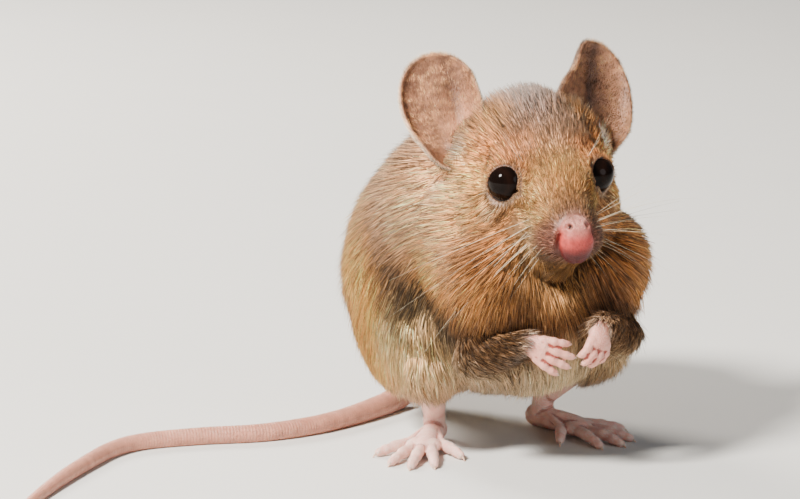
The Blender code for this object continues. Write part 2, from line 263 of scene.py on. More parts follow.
ELBOWS = {  # shoulder, elbow and wrist
    "right": ((-8.5, 3.5, 21.0), (-11.8, 2.2, 16.2), (-7.6, -5.0, 18.7)),
    "left": ((6.5, 2.5, 22.0), (9.2, -0.8, 17.6), (1.8, -8.5, 20.6)),
}
KNEES = {  # knee and ankle
    "right": ((-13.6, 11.5, 12.5), (-9.0, 18.5, 4.6)),
    "left": ((12.8, 10.5, 12.5), (9.0, 19.0, 4.6)),
}
FOREPAWS = {  # wrist, the way the fingers point, the way the back of the hand looks, the fingers' bend
    "right": ((-7.6, -5.0, 18.7), (0.60, -0.71, -0.34), (-0.70, -0.62, 0.16), 26),
    "left": ((1.3, -8.9, 20.6), (-0.30, -0.30, -0.90), (0.2, -0.9, 0.35), 46),
}
HINDFEET = {  # heel on the floor and the way the toes point
    "right": ((-7.4, 20.4), (-0.645, -0.764)),
    "left": ((8.0, 21.0), (0.25, -0.97)),
}


def offset() -> Array:
    """Where the mouse's frame lies in the model's, in millimetres, found from the two eye solids.

    Returns:
        Its place as (x, y, z).
    """
    centers = [sum(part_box(f"eye_{word}"), Vector()) / 2 for word in SIDES]
    middle = np.array((centers[0] + centers[1]) / 2) * 1000.0
    return middle - put(HEAD, EYE_AT * (0, 1, 1))


OFFSET = offset()


# ---- shapes ----
@dataclass
class Shape:
    """Points in millimetres and triangles."""

    points: Array
    faces: Array

    @staticmethod
    def joined(shapes: Sequence["Shape"]) -> "Shape":
        """Several shapes as one.

        Args:
            shapes: the shapes.

        Returns:
            One shape with all their points and faces.
        """
        starts = np.cumsum([0] + [len(shape.points) for shape in shapes[:-1]])
        faces = [shape.faces + start for shape, start in zip(shapes, starts)]
        return Shape(np.concatenate([shape.points for shape in shapes]), np.concatenate(faces))

    def moved(self, at: Array) -> "Shape":
        """The shape carried out of a frame, with its faces kept outward."""
        faces = self.faces if np.linalg.det(at[:3, :3]) > 0 else self.faces[:, ::-1]
        return Shape(put(at, self.points), faces)

    def outward(self) -> "Shape":
        """The shape with its faces outward: its volume, the sum of a . (b x c) / 6, is made positive."""
        a, b, c = (self.points[self.faces[:, i]] for i in range(3))
        return self if dot(a, np.cross(b, c)).sum() > 0 else Shape(self.points, self.faces[:, ::-1])

    def normals(self) -> Array:
        """Each point's normal: the sum of its triangles' cross products, scaled to one.

        Returns:
            Unit directions.
        """
        a, b, c = (self.points[self.faces[:, i]] for i in range(3))
        across = np.cross(b - a, c - a)
        total = np.zeros_like(self.points)
        for corner in range(3):
            for axis in range(3):
                total[:, axis] += np.bincount(self.faces[:, corner], across[:, axis], len(total))
        return unit(total)

    def spread(self, values: Array, rounds: int) -> Array:
        """Values at points softened by averaging each with its neighbours', several times over.

        Args:
            values: one number for each point.
            rounds: how many times.

        Returns:
            The softened numbers.
        """
        a = self.faces.ravel()
        b = np.roll(self.faces, 1, axis=1).ravel()
        count = np.bincount(a, minlength=len(values)) + 1
        for _ in range(rounds):
            values = (np.bincount(a, values[b], len(values)) + values) / count
        return values


def stacked(rings: Array) -> Shape:
    """A closed skin over a stack of rings: quads between neighbours, cut in two, and a fan over each end.

    Args:
        rings: an array of rings x places around x 3, running anticlockwise seen from the last ring.

    Returns:
        The closed shape.
    """
    count, around = rings.shape[:2]
    points = np.concatenate([rings.reshape(-1, 3), rings[:1].mean(axis=1), rings[-1:].mean(axis=1)])
    k = np.arange(around)
    after = (k + 1) % around
    row = np.arange(count - 1)[:, None] * around
    a, b, c, d = row + k, row + after, row + around + after, row + around + k
    sides = np.stack([a, b, c, a, c, d], axis=-1).reshape(-1, 3)
    first, last = np.full(around, count * around), np.full(around, count * around + 1)
    base = (count - 1) * around
    ends = [np.stack([after, k, first], axis=1), np.stack([base + k, base + after, last], axis=1)]
    return Shape(points, np.concatenate([sides, *ends]))


def ball_rings(polar_steps: int, round_steps: int) -> Array:
    """Rings of a ball of radius one at even polar angles: (sin p cos a, sin p sin a, cos p).

    Args:
        polar_steps: how many rings, without the poles.
        round_steps: points on a ring.

    Returns:
        Points, ring by ring.
    """
    polar = np.linspace(math.pi, 0.0, polar_steps + 2)[1:-1, None]
    angle = np.linspace(0.0, 2 * math.pi, round_steps, endpoint=False)[None, :]
    parts = np.sin(polar) * np.cos(angle), np.sin(polar) * np.sin(angle), np.cos(polar)
    return np.stack(np.broadcast_arrays(*parts), axis=-1)


def ellipsoid(center: Numbers, radii: Numbers, at: Array) -> Shape:
    """An ellipsoid in a frame: a ball whose rings are scaled by the radii."""
    return stacked(ball_rings(22, 30) * np.array(radii, float) + np.array(center, float)).moved(at)


def swept(path: Array, radii: Array, sides: int = 16, up: Numbers = (0.0, 0.0, 1.0),
          flat: float = 1.0) -> Shape:
    """A round profile carried along a path, its ends closed by half balls.

    At each end three more rings step outward by r sin(a) while their radius shrinks by cos(a).

    Args:
        path: the middle line's points.
        radii: the radius at each point.
        sides: points around the profile.
        up: a direction that the path never follows.
        flat: the profile's height over its width.

    Returns:
        The closed tube.
    """
    path, radii = np.asarray(path, float), np.asarray(radii, float)
    tip = np.radians([30.0, 60.0, 84.0])
    start, end = unit(path[0] - path[1]), unit(path[-1] - path[-2])
    head = path[0] + start * radii[0] * np.sin(tip[::-1])[:, None]
    foot = path[-1] + end * radii[-1] * np.sin(tip)[:, None]
    route = np.concatenate([head, path, foot])
    width = np.concatenate([radii[0] * np.cos(tip[::-1]), radii, radii[-1] * np.cos(tip)])
    along = unit(np.gradient(route, axis=0))
    side = unit(np.cross(along, np.array(up, float)))
    lift = np.cross(side, along)
    angle = np.linspace(0.0, 2 * math.pi, sides, endpoint=False)
    ring = side[:, None] * np.cos(angle)[None, :, None] + flat * lift[:, None] * np.sin(angle)[None, :, None]
    return stacked((route[:, None] + ring * width[:, None, None])[:, ::-1])


def limb(points: Sequence[Numbers], radii: Numbers, at: Array,
         up: Numbers = (0, 0, 1)) -> Shape:
    """A rounded limb whose radius runs evenly from point to point.

    Args:
        points: its joints.
        radii: the radius at each.
        at: the joints' frame.
        up: a direction it never follows.

    Returns:
        The closed limb.
    """
    knots = put(at, np.array(points, float))
    steps = np.linspace(0, len(knots) - 1, 6 * (len(knots) - 1) + 1)
    path = np.stack([np.interp(steps, np.arange(len(knots)), knots[:, axis]) for axis in range(3)], axis=1)
    return swept(path, np.interp(steps, np.arange(len(knots)), radii), 20, up)


def read_mesh(mesh: bpy.types.Mesh) -> Shape:
    """A mesh's points and its faces as triangles.

    Args:
        mesh: any mesh.

    Returns:
        Its shape, in its own units.
    """
    points = np.empty(len(mesh.vertices) * 3, np.float32)
    mesh.vertices.foreach_get("co", points)
    mesh.calc_loop_triangles()
    faces = np.empty(len(mesh.loop_triangles) * 3, np.int32)
    mesh.loop_triangles.foreach_get("vertices", faces)
    return Shape(points.reshape(-1, 3).astype(float), faces.reshape(-1, 3))


def bare_mesh(name: str, shape: Shape) -> bpy.types.Mesh:
    """A smooth-shaded mesh of triangles.

    Args:
        name: its name.
        shape: its shape.

    Returns:
        The mesh, in the shape's units.
    """
    mesh = bpy.data.meshes.new(name)
    mesh.vertices.add(len(shape.points))
    mesh.vertices.foreach_set("co", np.ascontiguousarray(shape.points, np.float32).ravel())
    mesh.loops.add(shape.faces.size)
    mesh.loops.foreach_set("vertex_index", np.ascontiguousarray(shape.faces, np.int32).ravel())
    mesh.polygons.add(len(shape.faces))
    mesh.polygons.foreach_set("loop_start", np.arange(0, shape.faces.size, 3, dtype=np.int32))
    mesh.update(calc_edges=True)
    mesh.shade_smooth()
    return mesh


def through_modifiers(shape: Shape, settings: Sequence[tuple[str, dict]],
                      keep: Array | None = None) -> Shape:
    """A shape passed through modifiers on an object made for that and removed again.

    Args:
        shape: the shape.
        settings: each modifier's type and its values.
        keep: how much each point matters to a Decimate, from 0 to 1.

    Returns:
        The shape that comes out.
    """
    obj = bpy.data.objects.new("work", bare_mesh("work", shape))
    bpy.context.scene.collection.objects.link(obj)
    if keep is not None:
        group = obj.vertex_groups.new(name="keep")
        for level in range(11):
            chosen = np.nonzero(np.round(keep * 10) == level)[0]
            group.add(chosen.tolist(), level / 10.0, "REPLACE")
    for kind, values in settings:
        modifier = obj.modifiers.new(kind, kind)
        for name, value in values.items():
            setattr(modifier, name, value)
    done = bpy.data.meshes.new_from_object(obj.evaluated_get(bpy.context.evaluated_depsgraph_get()))
    made = read_mesh(done)
    source = obj.data
    bpy.data.objects.remove(obj)
    bpy.data.meshes.remove(source)
    bpy.data.meshes.remove(done)
    return made


@dataclass
class Field:
    """A closed form as signed distances in millimetres on a grid, negative inside."""

    values: Array
    low: Array
    cell: float

    @staticmethod
    def of_shape(shape: Shape, cell: float, band: float) -> "Field":
        """Measures a closed shape, or several that overlap.

        Args:
            shape: the shape.
            cell: the grid's step.
            band: how far from the surface distances are kept.

        Returns:
            The field.
        """
        grid = openvdb.FloatGrid.createLevelSetFromPolygons(
            shape.points.astype(np.float32), triangles=shape.faces.astype(np.uint32),
            transform=openvdb.createLinearTransform(voxelSize=cell), halfWidth=band / cell,
        )
        low, high = (np.array(corner) for corner in grid.evalActiveVoxelBoundingBox())
        values = np.empty(high - low + 1, np.float32)
        grid.copyToArray(values, ijk=tuple(int(i) for i in low))
        return Field(values, low, cell)

    @staticmethod
    def over(low: Numbers, high: Numbers, cell: float) -> tuple["Field", Array]:
        """An empty field over a box, and its grid's places.

        Args:
            low: the box's least corner.
            high: its greatest.
            cell: the grid's step.

        Returns:
            The field, and the places in rows.
        """
        first = np.floor(np.array(low) / cell).astype(int)
        count = np.ceil((np.array(high) - np.array(low)) / cell).astype(int) + 1
        spans = [(first[axis] + np.arange(count[axis])) * cell for axis in range(3)]
        places = np.stack(np.meshgrid(*spans, indexing="ij"), axis=-1)
        return Field(np.full(count, 9.0, np.float32), first, cell), places.reshape(-1, 3)

    def surface(self, level: float = 0.0) -> Shape:
        """The closed surface where the distance is a level.

        Args:
            level: the distance.

        Returns:
            The surface.
        """
        grid = openvdb.FloatGrid(float(self.values.max()))
        grid.transform = openvdb.createLinearTransform(voxelSize=self.cell)
        grid.copyFromArray(np.ascontiguousarray(self.values), ijk=tuple(int(i) for i in self.low))
        points, triangles, quads = grid.convertToPolygons(isovalue=level, adaptivity=0.0)
        quads = quads.astype(np.int64)
        faces = [triangles.astype(np.int64).reshape(-1, 3), quads[:, :3], quads[:, (0, 2, 3)]]
        return Shape(points.astype(float), np.concatenate(faces)).outward()

    def read(self, points: Array) -> Array:
        """Distances at points, blended from the eight grid values round each.

        Args:
            points: places.

        Returns:
            One distance for each.
        """
        most = np.array(self.values.shape) - 1.001
        place = np.clip(points / self.cell - self.low, 0.0, most)
        total = np.zeros(len(points))
        for cell, share in corners(place):
            total += share * self.values[cell[:, 0], cell[:, 1], cell[:, 2]]
        return total

    def outward(self, points: Array) -> Array:
        """The directions in which the distance grows fastest, from differences over one cell each way."""
        steps = np.eye(3) * self.cell
        return unit(np.stack([self.read(points + step) - self.read(points - step) for step in steps], axis=1))


def hull_of_solids() -> Field:
    """The outer surface of the solids of flesh and of the lids over the eyes, as one field.

    The solids touch, so their inner walls are dropped: the surface a skip outside them is taken first, and
    the field is measured from that.

    Returns:
        Distances, negative inside.
    """
    names = ("head", "neck", "trunk", "foreleg_left", "foreleg_right", "hindleg_left", "hindleg_right")
    shapes = [read_mesh(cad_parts[name].data) for name in names]
    whole = Shape.joined(shapes)
    whole = Shape(whole.points * 1000.0 - OFFSET, whole.faces)
    dome_radii = (EYE_RADIUS + LID_DEPTH,) * 3
    domes = [ellipsoid(mirrored(EYE_AT, side), dome_radii, HEAD) for side in SIDES.values()]
    cell, skip = 0.45, 0.3
    outside = Field.of_shape(Shape.joined([whole, *domes]), cell, 1.6).surface(skip)
    hull = Field.of_shape(outside, cell, 7.0)
    hull.values += skip
    return hull


# ---- finishes ----
class Value:
    """A shader socket that takes part in sums and products."""

    def __init__(self, finish: "Finish", socket: bpy.types.NodeSocket) -> None:
        """Keeps the socket and the finish whose nodes it belongs to."""
        self.finish = finish
        self.socket = socket

    def _math(self, operation: str, first: "Value | float", second: "Value | float") -> "Value":
        """One Math node."""
        return self.finish.node("ShaderNodeMath", {"operation": operation}, {0: first, 1: second})

    def __add__(self, other: "Value | float") -> "Value":
        """Sum."""
        return self._math("ADD", self, other)

    __radd__ = __add__

    def __mul__(self, other: "Value | float") -> "Value":
        """Product."""
        return self._math("MULTIPLY", self, other)

    __rmul__ = __mul__

    def __sub__(self, other: "Value | float") -> "Value":
        """Difference."""
        return self._math("SUBTRACT", self, other)

    def __rsub__(self, other: float) -> "Value":
        """Reflected difference, so that 1 - mask works."""
        return self._math("SUBTRACT", other, self)


class Finish:
    """A material built by expressions on its nodes' sockets."""

    def __init__(self, name: str) -> None:
        """Starts a material with one Principled shader.

        Args:
            name: the material's name.
        """
        self.material = bpy.data.materials.new(name)
        self.material.use_nodes = True
        self.tree = self.material.node_tree
        self.shader = self.tree.nodes["Principled BSDF"]

    def node(self, kind: str, settings: dict | None = None, inputs: dict | None = None,
             output: int | str = 0) -> Value:
        """Adds a node.

        Args:
            kind: the node's type.
            settings: attributes, set before the inputs.
            inputs: values or links for its sockets, by name or number.
            output: which output to return.

        Returns:
            That output.
        """
        made = self.tree.nodes.new(kind)
        for name, value in (settings or {}).items():
            setattr(made, name, value)
        for name, value in (inputs or {}).items():
            self.feed(made.inputs[name], value)
        return Value(self, made.outputs[output])

    def feed(self, socket: bpy.types.NodeSocket, value: "Value | float | Numbers") -> None:
        """Links a value to a socket, or sets it.

        Args:
            socket: the socket.
            value: a value of the node tree, or numbers.
        """
        if isinstance(value, Value):
            self.tree.links.new(value.socket, socket)
        else:
            socket.default_value = value

    def attribute(self, name: str, output: str) -> Value:
        """A value stored on the mesh."""
        return self.node("ShaderNodeAttribute", {"attribute_name": name}, output=output)

    def place(self) -> Value:
        """Object coordinates."""
        return self.node("ShaderNodeTexCoord", output="Object")

    def blend(self, share: "Value | float", first: "Value | Numbers",
              second: "Value | Numbers", mode: str = "MIX") -> Value:
        """Two colours mixed by a share."""
        settings = {"data_type": "RGBA", "blend_type": mode}
        return self.node("ShaderNodeMix", settings, {0: share, 6: first, 7: second}, output=2)

    def cloud(self, size: float, detail: float = 2.0, stretch: Numbers = (1, 1, 1)) -> Value:
        """Noise drawn out along the axes.

        Args:
            size: the spots' size in metres.
            detail: how many finer layers it has.
            stretch: scale along each axis: the spots are shorter where it is larger.

        Returns:
            The noise, from 0 to 1.
        """
        vector = self.place()
        if tuple(stretch) != (1, 1, 1):
            vector = self.node("ShaderNodeMapping", {}, {"Vector": vector, "Scale": stretch})
        return self.node("ShaderNodeTexNoise", {}, {"Vector": vector, "Scale": 1.0 / size, "Detail": detail})

    def cells(self, size: float) -> Value:
        """Rounded cells of a size in metres, dark at their edges."""
        settings = {"feature": "SMOOTH_F1"}
        return self.node("ShaderNodeTexVoronoi", settings, {"Vector": self.place(), "Scale": 1.0 / size})

    def bump(self, height: Value, depth: float, strength: float = 1.0) -> Value:
        """A surface that looks raised by height times depth in metres."""
        return self.node("ShaderNodeBump", {}, {"Height": height, "Distance": depth, "Strength": strength})

    def set(self, **values: "Value | float | Numbers") -> "Finish":
        """Sets the shader's sockets.

        Args:
            values: each socket's value; underscores in its name stand for spaces.

        Returns:
            This finish.
        """
        for name, value in values.items():
            self.feed(self.shader.inputs[name.replace("_", " ")], value)
        return self


@dataclass(frozen=True)
class SkinFinish:
    """Skin: its colours lie on the mesh; bare skin has fine cells, the tail has rings of scales."""

    cell: float = 0.00022
    mottle: float = 0.0012
    grain: float = 0.0003
    relief: float = 0.00006
    ring_pitch: float = 0.44  # millimetres along the tail
    furrow_color: tuple = (0.20, 0.09, 0.07, 1.0)
    scatter: float = 0.0006

    def build(self) -> bpy.types.Material:
        """Makes the material.

        Returns:
            The material.
        """
        f = Finish("mouse_skin")
        tint = f.attribute("tint", "Color")
        bare = f.attribute("bare", "Fac")
        ring = f.attribute("ring", "Fac")
        wave = f.node("ShaderNodeMath", {"operation": "SINE"}, {0: ring * (2 * math.pi / self.ring_pitch)})
        on_tail = f.node("ShaderNodeMath", {"operation": "MINIMUM"}, {0: ring, 1: 1.0})
        mottle = f.cloud(self.mottle, 3.0)
        color = f.blend(0.35, tint, f.blend(1.0, tint, mottle, "OVERLAY"))
        furrow = (wave * 0.5 + 0.5) * on_tail
        color = f.blend(furrow * 0.12, color, self.furrow_color)
        height = f.cells(self.cell) * bare + wave * on_tail * 0.3 + f.cloud(self.grain, 4.0) * 0.6
        return f.set(
            Base_Color=color, Roughness=0.5, Normal=f.bump(height, self.relief),
            Subsurface_Weight=0.25, Subsurface_Radius=(1.0, 0.35, 0.2), Subsurface_Scale=self.scatter,
            Specular_IOR_Level=0.35,
        ).material


@dataclass(frozen=True)
class HairFinish:
    """Hair: each strand carries its own colours, and light grazing it is softly scattered."""

    name: str = "coat"
    roughness: float = 0.55

    def build(self) -> bpy.types.Material:
        """Makes the material.

        Returns:
            The material.
        """
        f = Finish(self.name)
        tint = f.attribute("tint", "Color")
        return f.set(
            Base_Color=tint, Roughness=self.roughness, Specular_IOR_Level=0.22,
            Sheen_Weight=0.06, Sheen_Roughness=0.4, Sheen_Tint=(1.0, 0.80, 0.55, 1.0),
        ).material


@dataclass(frozen=True)
class EyeFinish:
    """A wet black-brown eye with a faint, slightly paler rim round its pupil."""

    spot: float = 0.0008
    deep_color: tuple = (0.010, 0.005, 0.003, 1.0)
    roughness: float = 0.09
    gloss: float = 0.07

    def build(self) -> bpy.types.Material:
        """Makes the material.

        Returns:
            The eyeballs' material.
        """
        f = Finish("eye_wet_black")
        depth = f.cloud(self.spot, 3.0)
        color = f.blend(depth * 0.5, f.attribute("tint", "Color"), self.deep_color)
        return f.set(Base_Color=color, Roughness=self.roughness, Specular_IOR_Level=self.gloss).material


@dataclass(frozen=True)
class HornFinish:
    """Pale, half-clear horn, its grain running along Z."""

    grain: float = 0.0002
    quick_color: tuple = (0.35, 0.17, 0.11, 1.0)
    relief: float = 0.00002

    def build(self) -> bpy.types.Material:
        """Makes the material.

        Returns:
            The claws' material.
        """
        f = Finish("claw_horn")
        grain = f.cloud(self.grain, 2.0, (1, 1, 4))
        color = f.blend(grain * 0.6, f.attribute("tint", "Color"), self.quick_color)
        return f.set(Base_Color=color, Roughness=0.28, Subsurface_Weight=0.3, Subsurface_Scale=0.0003,
                     Subsurface_Radius=(1.0, 0.5, 0.3), Normal=f.bump(grain, self.relief)).material


def piece(name: str, shape: Shape, material: bpy.types.Material, tint: Array | None = None,
          extras: dict[str, Array] | None = None) -> bpy.types.Object:
    """A finished object at the origin, riding on the model, with colours on its points.

    Args:
        name: the piece's name.
        shape: its shape in millimetres, in the mouse's frame.
        material: its finish.
        tint: a linear colour for each point.
        extras: further numbers for each point.

    Returns:
        The object.
    """
    mesh = bare_mesh(name, Shape((shape.points + OFFSET) * 0.001, shape.faces))
    if tint is not None:
        colors = np.ones((len(tint), 4), np.float32)
        colors[:, :3] = tint
        mesh.attributes.new("tint", "FLOAT_COLOR", "POINT").data.foreach_set("color", colors.ravel())
    for key, values in (extras or {}).items():
        mesh.attributes.new(key, "FLOAT", "POINT").data.foreach_set("value", values.astype(np.float32))
    obj = bpy.data.objects.new(name, mesh)
    mesh.materials.append(material)
    bpy.context.scene.collection.objects.link(obj)
    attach(obj, "root")
    LOG.info("%s: %d triangles", name, len(shape.faces))
    return obj


# ---- the coat's map: colour, lie, length and dark hairs, place by place ----
class Where(Enum):
    """Whose frame a place is given in."""

    HEAD = "head"
    BODY = "body"


@dataclass(frozen=True)
class Zone:
    """A place on the coat and how the coat is there; one off the midline stands for both sides."""

    name: str
    where: Where
    at: tuple[float, float, float]
    reach: float
    color: str
    flow: tuple[float, float, float]
    length: float
    dark: float = 0.15  # share of dark guard hairs


H, B = Where.HEAD, Where.BODY
ZONES = (
    Zone("nose_edge", H, (0, -10.3, -0.9), 1.1, "c49486", (0, 0.8, 0.6), 0.55, 0.1),
    Zone("muzzle_top", H, (0, -8.2, 0.2), 1.7, "6e5446", (0, 0.85, 0.5), 0.85, 0.35),
    Zone("bridge", H, (0, -5.8, 1.7), 2.2, "a87c5a", (0, 0.85, 0.5), 1.2, 0.30),
    Zone("between_eyes", H, (0, -2.5, 4.2), 2.4, "daa676", (0, 0.85, 0.5), 1.6, 0.32),
    Zone("forehead", H, (0, 1.0, 6.2), 2.5, "aa8872", (0, 0.88, 0.42), 2.3, 0.34),
    Zone("crown", H, (0, 4.6, 8.0), 2.8, "9c8274", (0, 0.95, 0.35), 3.3, 0.34),
    Zone("crown_back", H, (0, 10.0, 8.6), 4.0, "50484a", (0, 1.0, 0.0), 4.6, 0.40),
    Zone("brow_side", H, (3.7, 0.2, 5.3), 1.9, "b0763e", (0.25, 0.85, 0.45), 1.8, 0.25),
    Zone("ear_front", H, (6.0, 7.6, 6.8), 2.2, "a87c38", (0.22, 0.95, 0.2), 3.6, 0.08),
    Zone("temple", H, (8.7, 4.2, 2.6), 1.9, "e29a4c", (0.3, 0.92, 0.15), 2.8, 0.15),
    Zone("notch", H, (10.3, 8.6, 1.6), 0.9, "f6e8da", (0.75, 0.3, 0.6), 3.0, 0.0),
    Zone("eye_back", H, (9.7, 3.6, -0.2), 1.5, "e4b07c", (0.4, 0.9, -0.1), 2.2, 0.15),
    Zone("cheek_top", H, (11.0, 6.0, -1.6), 2.2, "fcc494", (0.5, 0.8, -0.28), 3.2, 0.18),
    Zone("cheek", H, (11.2, 2.4, -5.0), 2.5, "eaac74", (0.68, 0.62, -0.38), 3.4, 0.22),
    Zone("eye_under", H, (7.6, -2.0, -3.4), 1.7, "9c7254", (0.8, 0.5, -0.25), 1.6, 0.32),
    Zone("eye_nose", H, (4.5, -4.7, -0.8), 1.8, "f0b888", (0.55, 0.82, 0.0), 1.2, 0.34),
    Zone("pad", H, (5.0, -4.6, -6.4), 1.6, "dcbc98", (0.85, 0.15, -0.5), 2.4, 0.06),
    Zone("pad_back", H, (7.6, -3.6, -6.8), 1.6, "c4884e", (0.82, 0.25, -0.5), 3.0, 0.18),
    Zone("beside_nose", H, (3.1, -9.0, -3.7), 1.2, "8c6052", (0.75, 0.6, -0.2), 0.7, 0.45),
    # lip: dark hair round the mouth, darkened further as painted shade under the nose
    Zone("lip", H, (2.6, -8.4, -6.6), 1.1, "5c3e2e", (0.5, 0.05, -0.85), 2.2, 0.25),
    Zone("cheek_low", H, (10.6, -2.4, -8.4), 2.5, "845838", (0.75, 0.3, -0.58), 3.8, 0.28),
    Zone("jaw_side", H, (6.4, -5.6, -10.8), 2.4, "64482c", (0.45, -0.15, -0.85), 4.0, 0.18),
    # chin: brownish-cream fur darkened to a painted shade under the muzzle
    Zone("chin", H, (0, -7.6, -9.6), 1.8, "4a3828", (0, -0.1, -1.0), 2.2, 0.1),
    Zone("throat", H, (0, -5.8, -13.0), 3.0, "b08a64", (0, -0.45, -0.9), 4.0, 0.10),
    Zone("nape", B, (0, 12.0, 45.0), 4.5, "9c8070", (0, 1.0, -0.15), 6.0, 0.40),
    Zone("shoulder_top", B, (9.0, 13.0, 41.5), 4.5, "f0b68e", (0.35, 0.85, -0.38), 6.0, 0.32),
    Zone("shoulder", B, (14.4, 13.0, 37.0), 3.3, "ecbe9a", (0.4, 0.75, -0.5), 6.0, 0.26),
    Zone("neck_side", B, (14.0, 6.5, 32.8), 3.0, "d0a686", (0.45, 0.8, -0.36), 5.0, 0.24),
    Zone("ruff_mid", B, (15.0, 7.6, 28.0), 2.5, "f4b276", (0.25, 0.65, -0.7), 5.5, 0.2),
    Zone("ruff_front", B, (13.4, -0.4, 26.0), 2.6, "c08c5a", (0.35, 0.35, -0.86), 5.5, 0.2),
    Zone("side_back", B, (16.5, 15.5, 33.0), 3.0, "d6a888", (0.2, 0.62, -0.75), 6.5, 0.32),
    Zone("back", B, (0, 24.0, 45.0), 7.0, "866850", (0, 0.9, -0.42), 7.0, 0.44),
    Zone("back_side", B, (12.0, 24.0, 40.0), 5.0, "a88a72", (0.1, 0.7, -0.7), 7.0, 0.38),
    # edge_high and edge_mid: the flank's own orange-buff, brightened as a painted rim light along the flank's
    # outline
    Zone("edge_high", B, (16.5, 27.0, 32.0), 3.6, "dcac88", (0, 0.35, -0.94), 7.0, 0.15),
    Zone("edge_mid", B, (17.4, 27.0, 24.5), 4.2, "fcbc80", (0, 0.1, -1.0), 7.0, 0.1),
    # band_top, band_high, band_mid and band_low: darker fur in the crease between the ruff and the flank,
    # with painted shade of that crease laid into their colour
    Zone("band_top", B, (17.0, 20.6, 31.6), 2.0, "5c4432", (0, 0.5, -0.86), 6.5, 0.45),
    Zone("flank", B, (17.8, 22.8, 27.6), 2.4, "eaae7c", (0, 0.4, -0.92), 6.5, 0.28),
    Zone("band_high", B, (17.4, 16.8, 27.6), 2.2, "6a5242", (0, 0.45, -0.9), 6.5, 0.55),
    Zone("band_mid", B, (16.0, 13.0, 23.4), 2.3, "40301f", (0, 0.2, -0.96), 6.0, 0.7),
    Zone("band_low", B, (13.9, 8.4, 19.8), 2.2, "40301f", (0, -0.2, -0.96), 5.5, 0.65),
    Zone("flank_low", B, (17.0, 24.0, 18.0), 3.3, "fcb466", (0, -0.25, -0.96), 6.0, 0.06),
    Zone("flank_front", B, (17.2, 16.0, 17.2), 2.6, "f0d0a6", (0, -0.4, -0.9), 6.0, 0.05),
    Zone("flank_knee", B, (15.6, 10.0, 15.4), 2.3, "f0caa0", (-0.05, -0.35, -0.93), 4.0, 0.05),
    Zone("belly_side", B, (14.0, 7.0, 12.4), 2.8, "ccb294", (-0.3, -0.1, -0.95), 3.6, 0.06),
    Zone("belly_front", B, (0, -3.0, 14.0), 4.5, "bca68a", (0, 0.2, -0.98), 5.5, 0.08),
    Zone("belly_low", B, (8.0, 2.0, 11.4), 3.6, "b09880", (-0.2, 0.2, -0.95), 5.0, 0.05),
    # chest: tan fur darkened to a painted shade under the head
    Zone("chest", B, (4.0, -4.2, 22.4), 3.3, "66401e", (0, -0.2, -0.98), 5.5, 0.2),
    Zone("thigh", B, (16.6, 25.0, 12.5), 4.2, "cca070", (0, 0.1, -1.0), 4.2, 0.12),
    Zone("thigh_back", B, (13.5, 33.0, 15.0), 5.0, "ab8460", (0, 0.2, -0.98), 5.5, 0.25),
    Zone("rump", B, (0, 42.0, 30.0), 7.0, "8c6c58", (0, 0.3, -0.95), 6.5, 0.42),
    Zone("rump_side", B, (12.0, 38.0, 24.0), 6.0, "d8a478", (0, 0.25, -0.97), 6.5, 0.3),
    Zone("tail_head", B, (0, 40.0, 9.0), 3.0, "917056", (0, 0.5, -0.86), 2.8, 0.2),
    Zone("belly_under", B, (0, 18.0, 6.0), 7.0, "c8b8a4", (0, 1.0, -0.1), 5.0, 0.03),
    Zone("vent", B, (0, 32.0, 8.0), 5.0, "cbb9a0", (0, 1.0, -0.1), 4.5, 0.06),
    Zone("knee", B, (13.6, 8.5, 10.0), 2.0, "8e725c", (-0.2, -0.05, -0.98), 2.0, 0.06),
    Zone("shin", B, (11.0, 15.0, 7.6), 2.2, "86665a", (-0.35, 0.5, -0.75), 1.0, 0.12),
    Zone("ankle", B, (9.0, 18.6, 4.6), 1.8, "a88274", (-0.1, 0.1, -1.0), 0.6, 0.08),
    Zone("upper_arm", B, (11.4, 1.0, 19.0), 2.6, "5c4028", (-0.1, -0.65, -0.75), 4.2, 0.5),
)


FOREARM = (  # share of the way from elbow to wrist, reach, colour and length
    (0.4, 2.3, "563b22", 3.0), (0.85, 1.7, "5b4128", 2.0), (1.1, 1.2, "a07c5c", 1.1),
)


def arm_zones() -> list[Zone]:
    """The forearms' zones, which lie along each arm's own bones.

    Returns:
        Zones for both arms.
    """
    found = []
    for _, elbow, wrist in ELBOWS.values():
        elbow, wrist = np.array(elbow), np.array(wrist)
        along = tuple(unit(wrist - elbow))
        for share, reach, color, length in FOREARM:
            place = tuple(elbow + (wrist - elbow) * share)
            found.append(Zone("forearm", B, place, reach, color, along, length, 0.4))
    return found


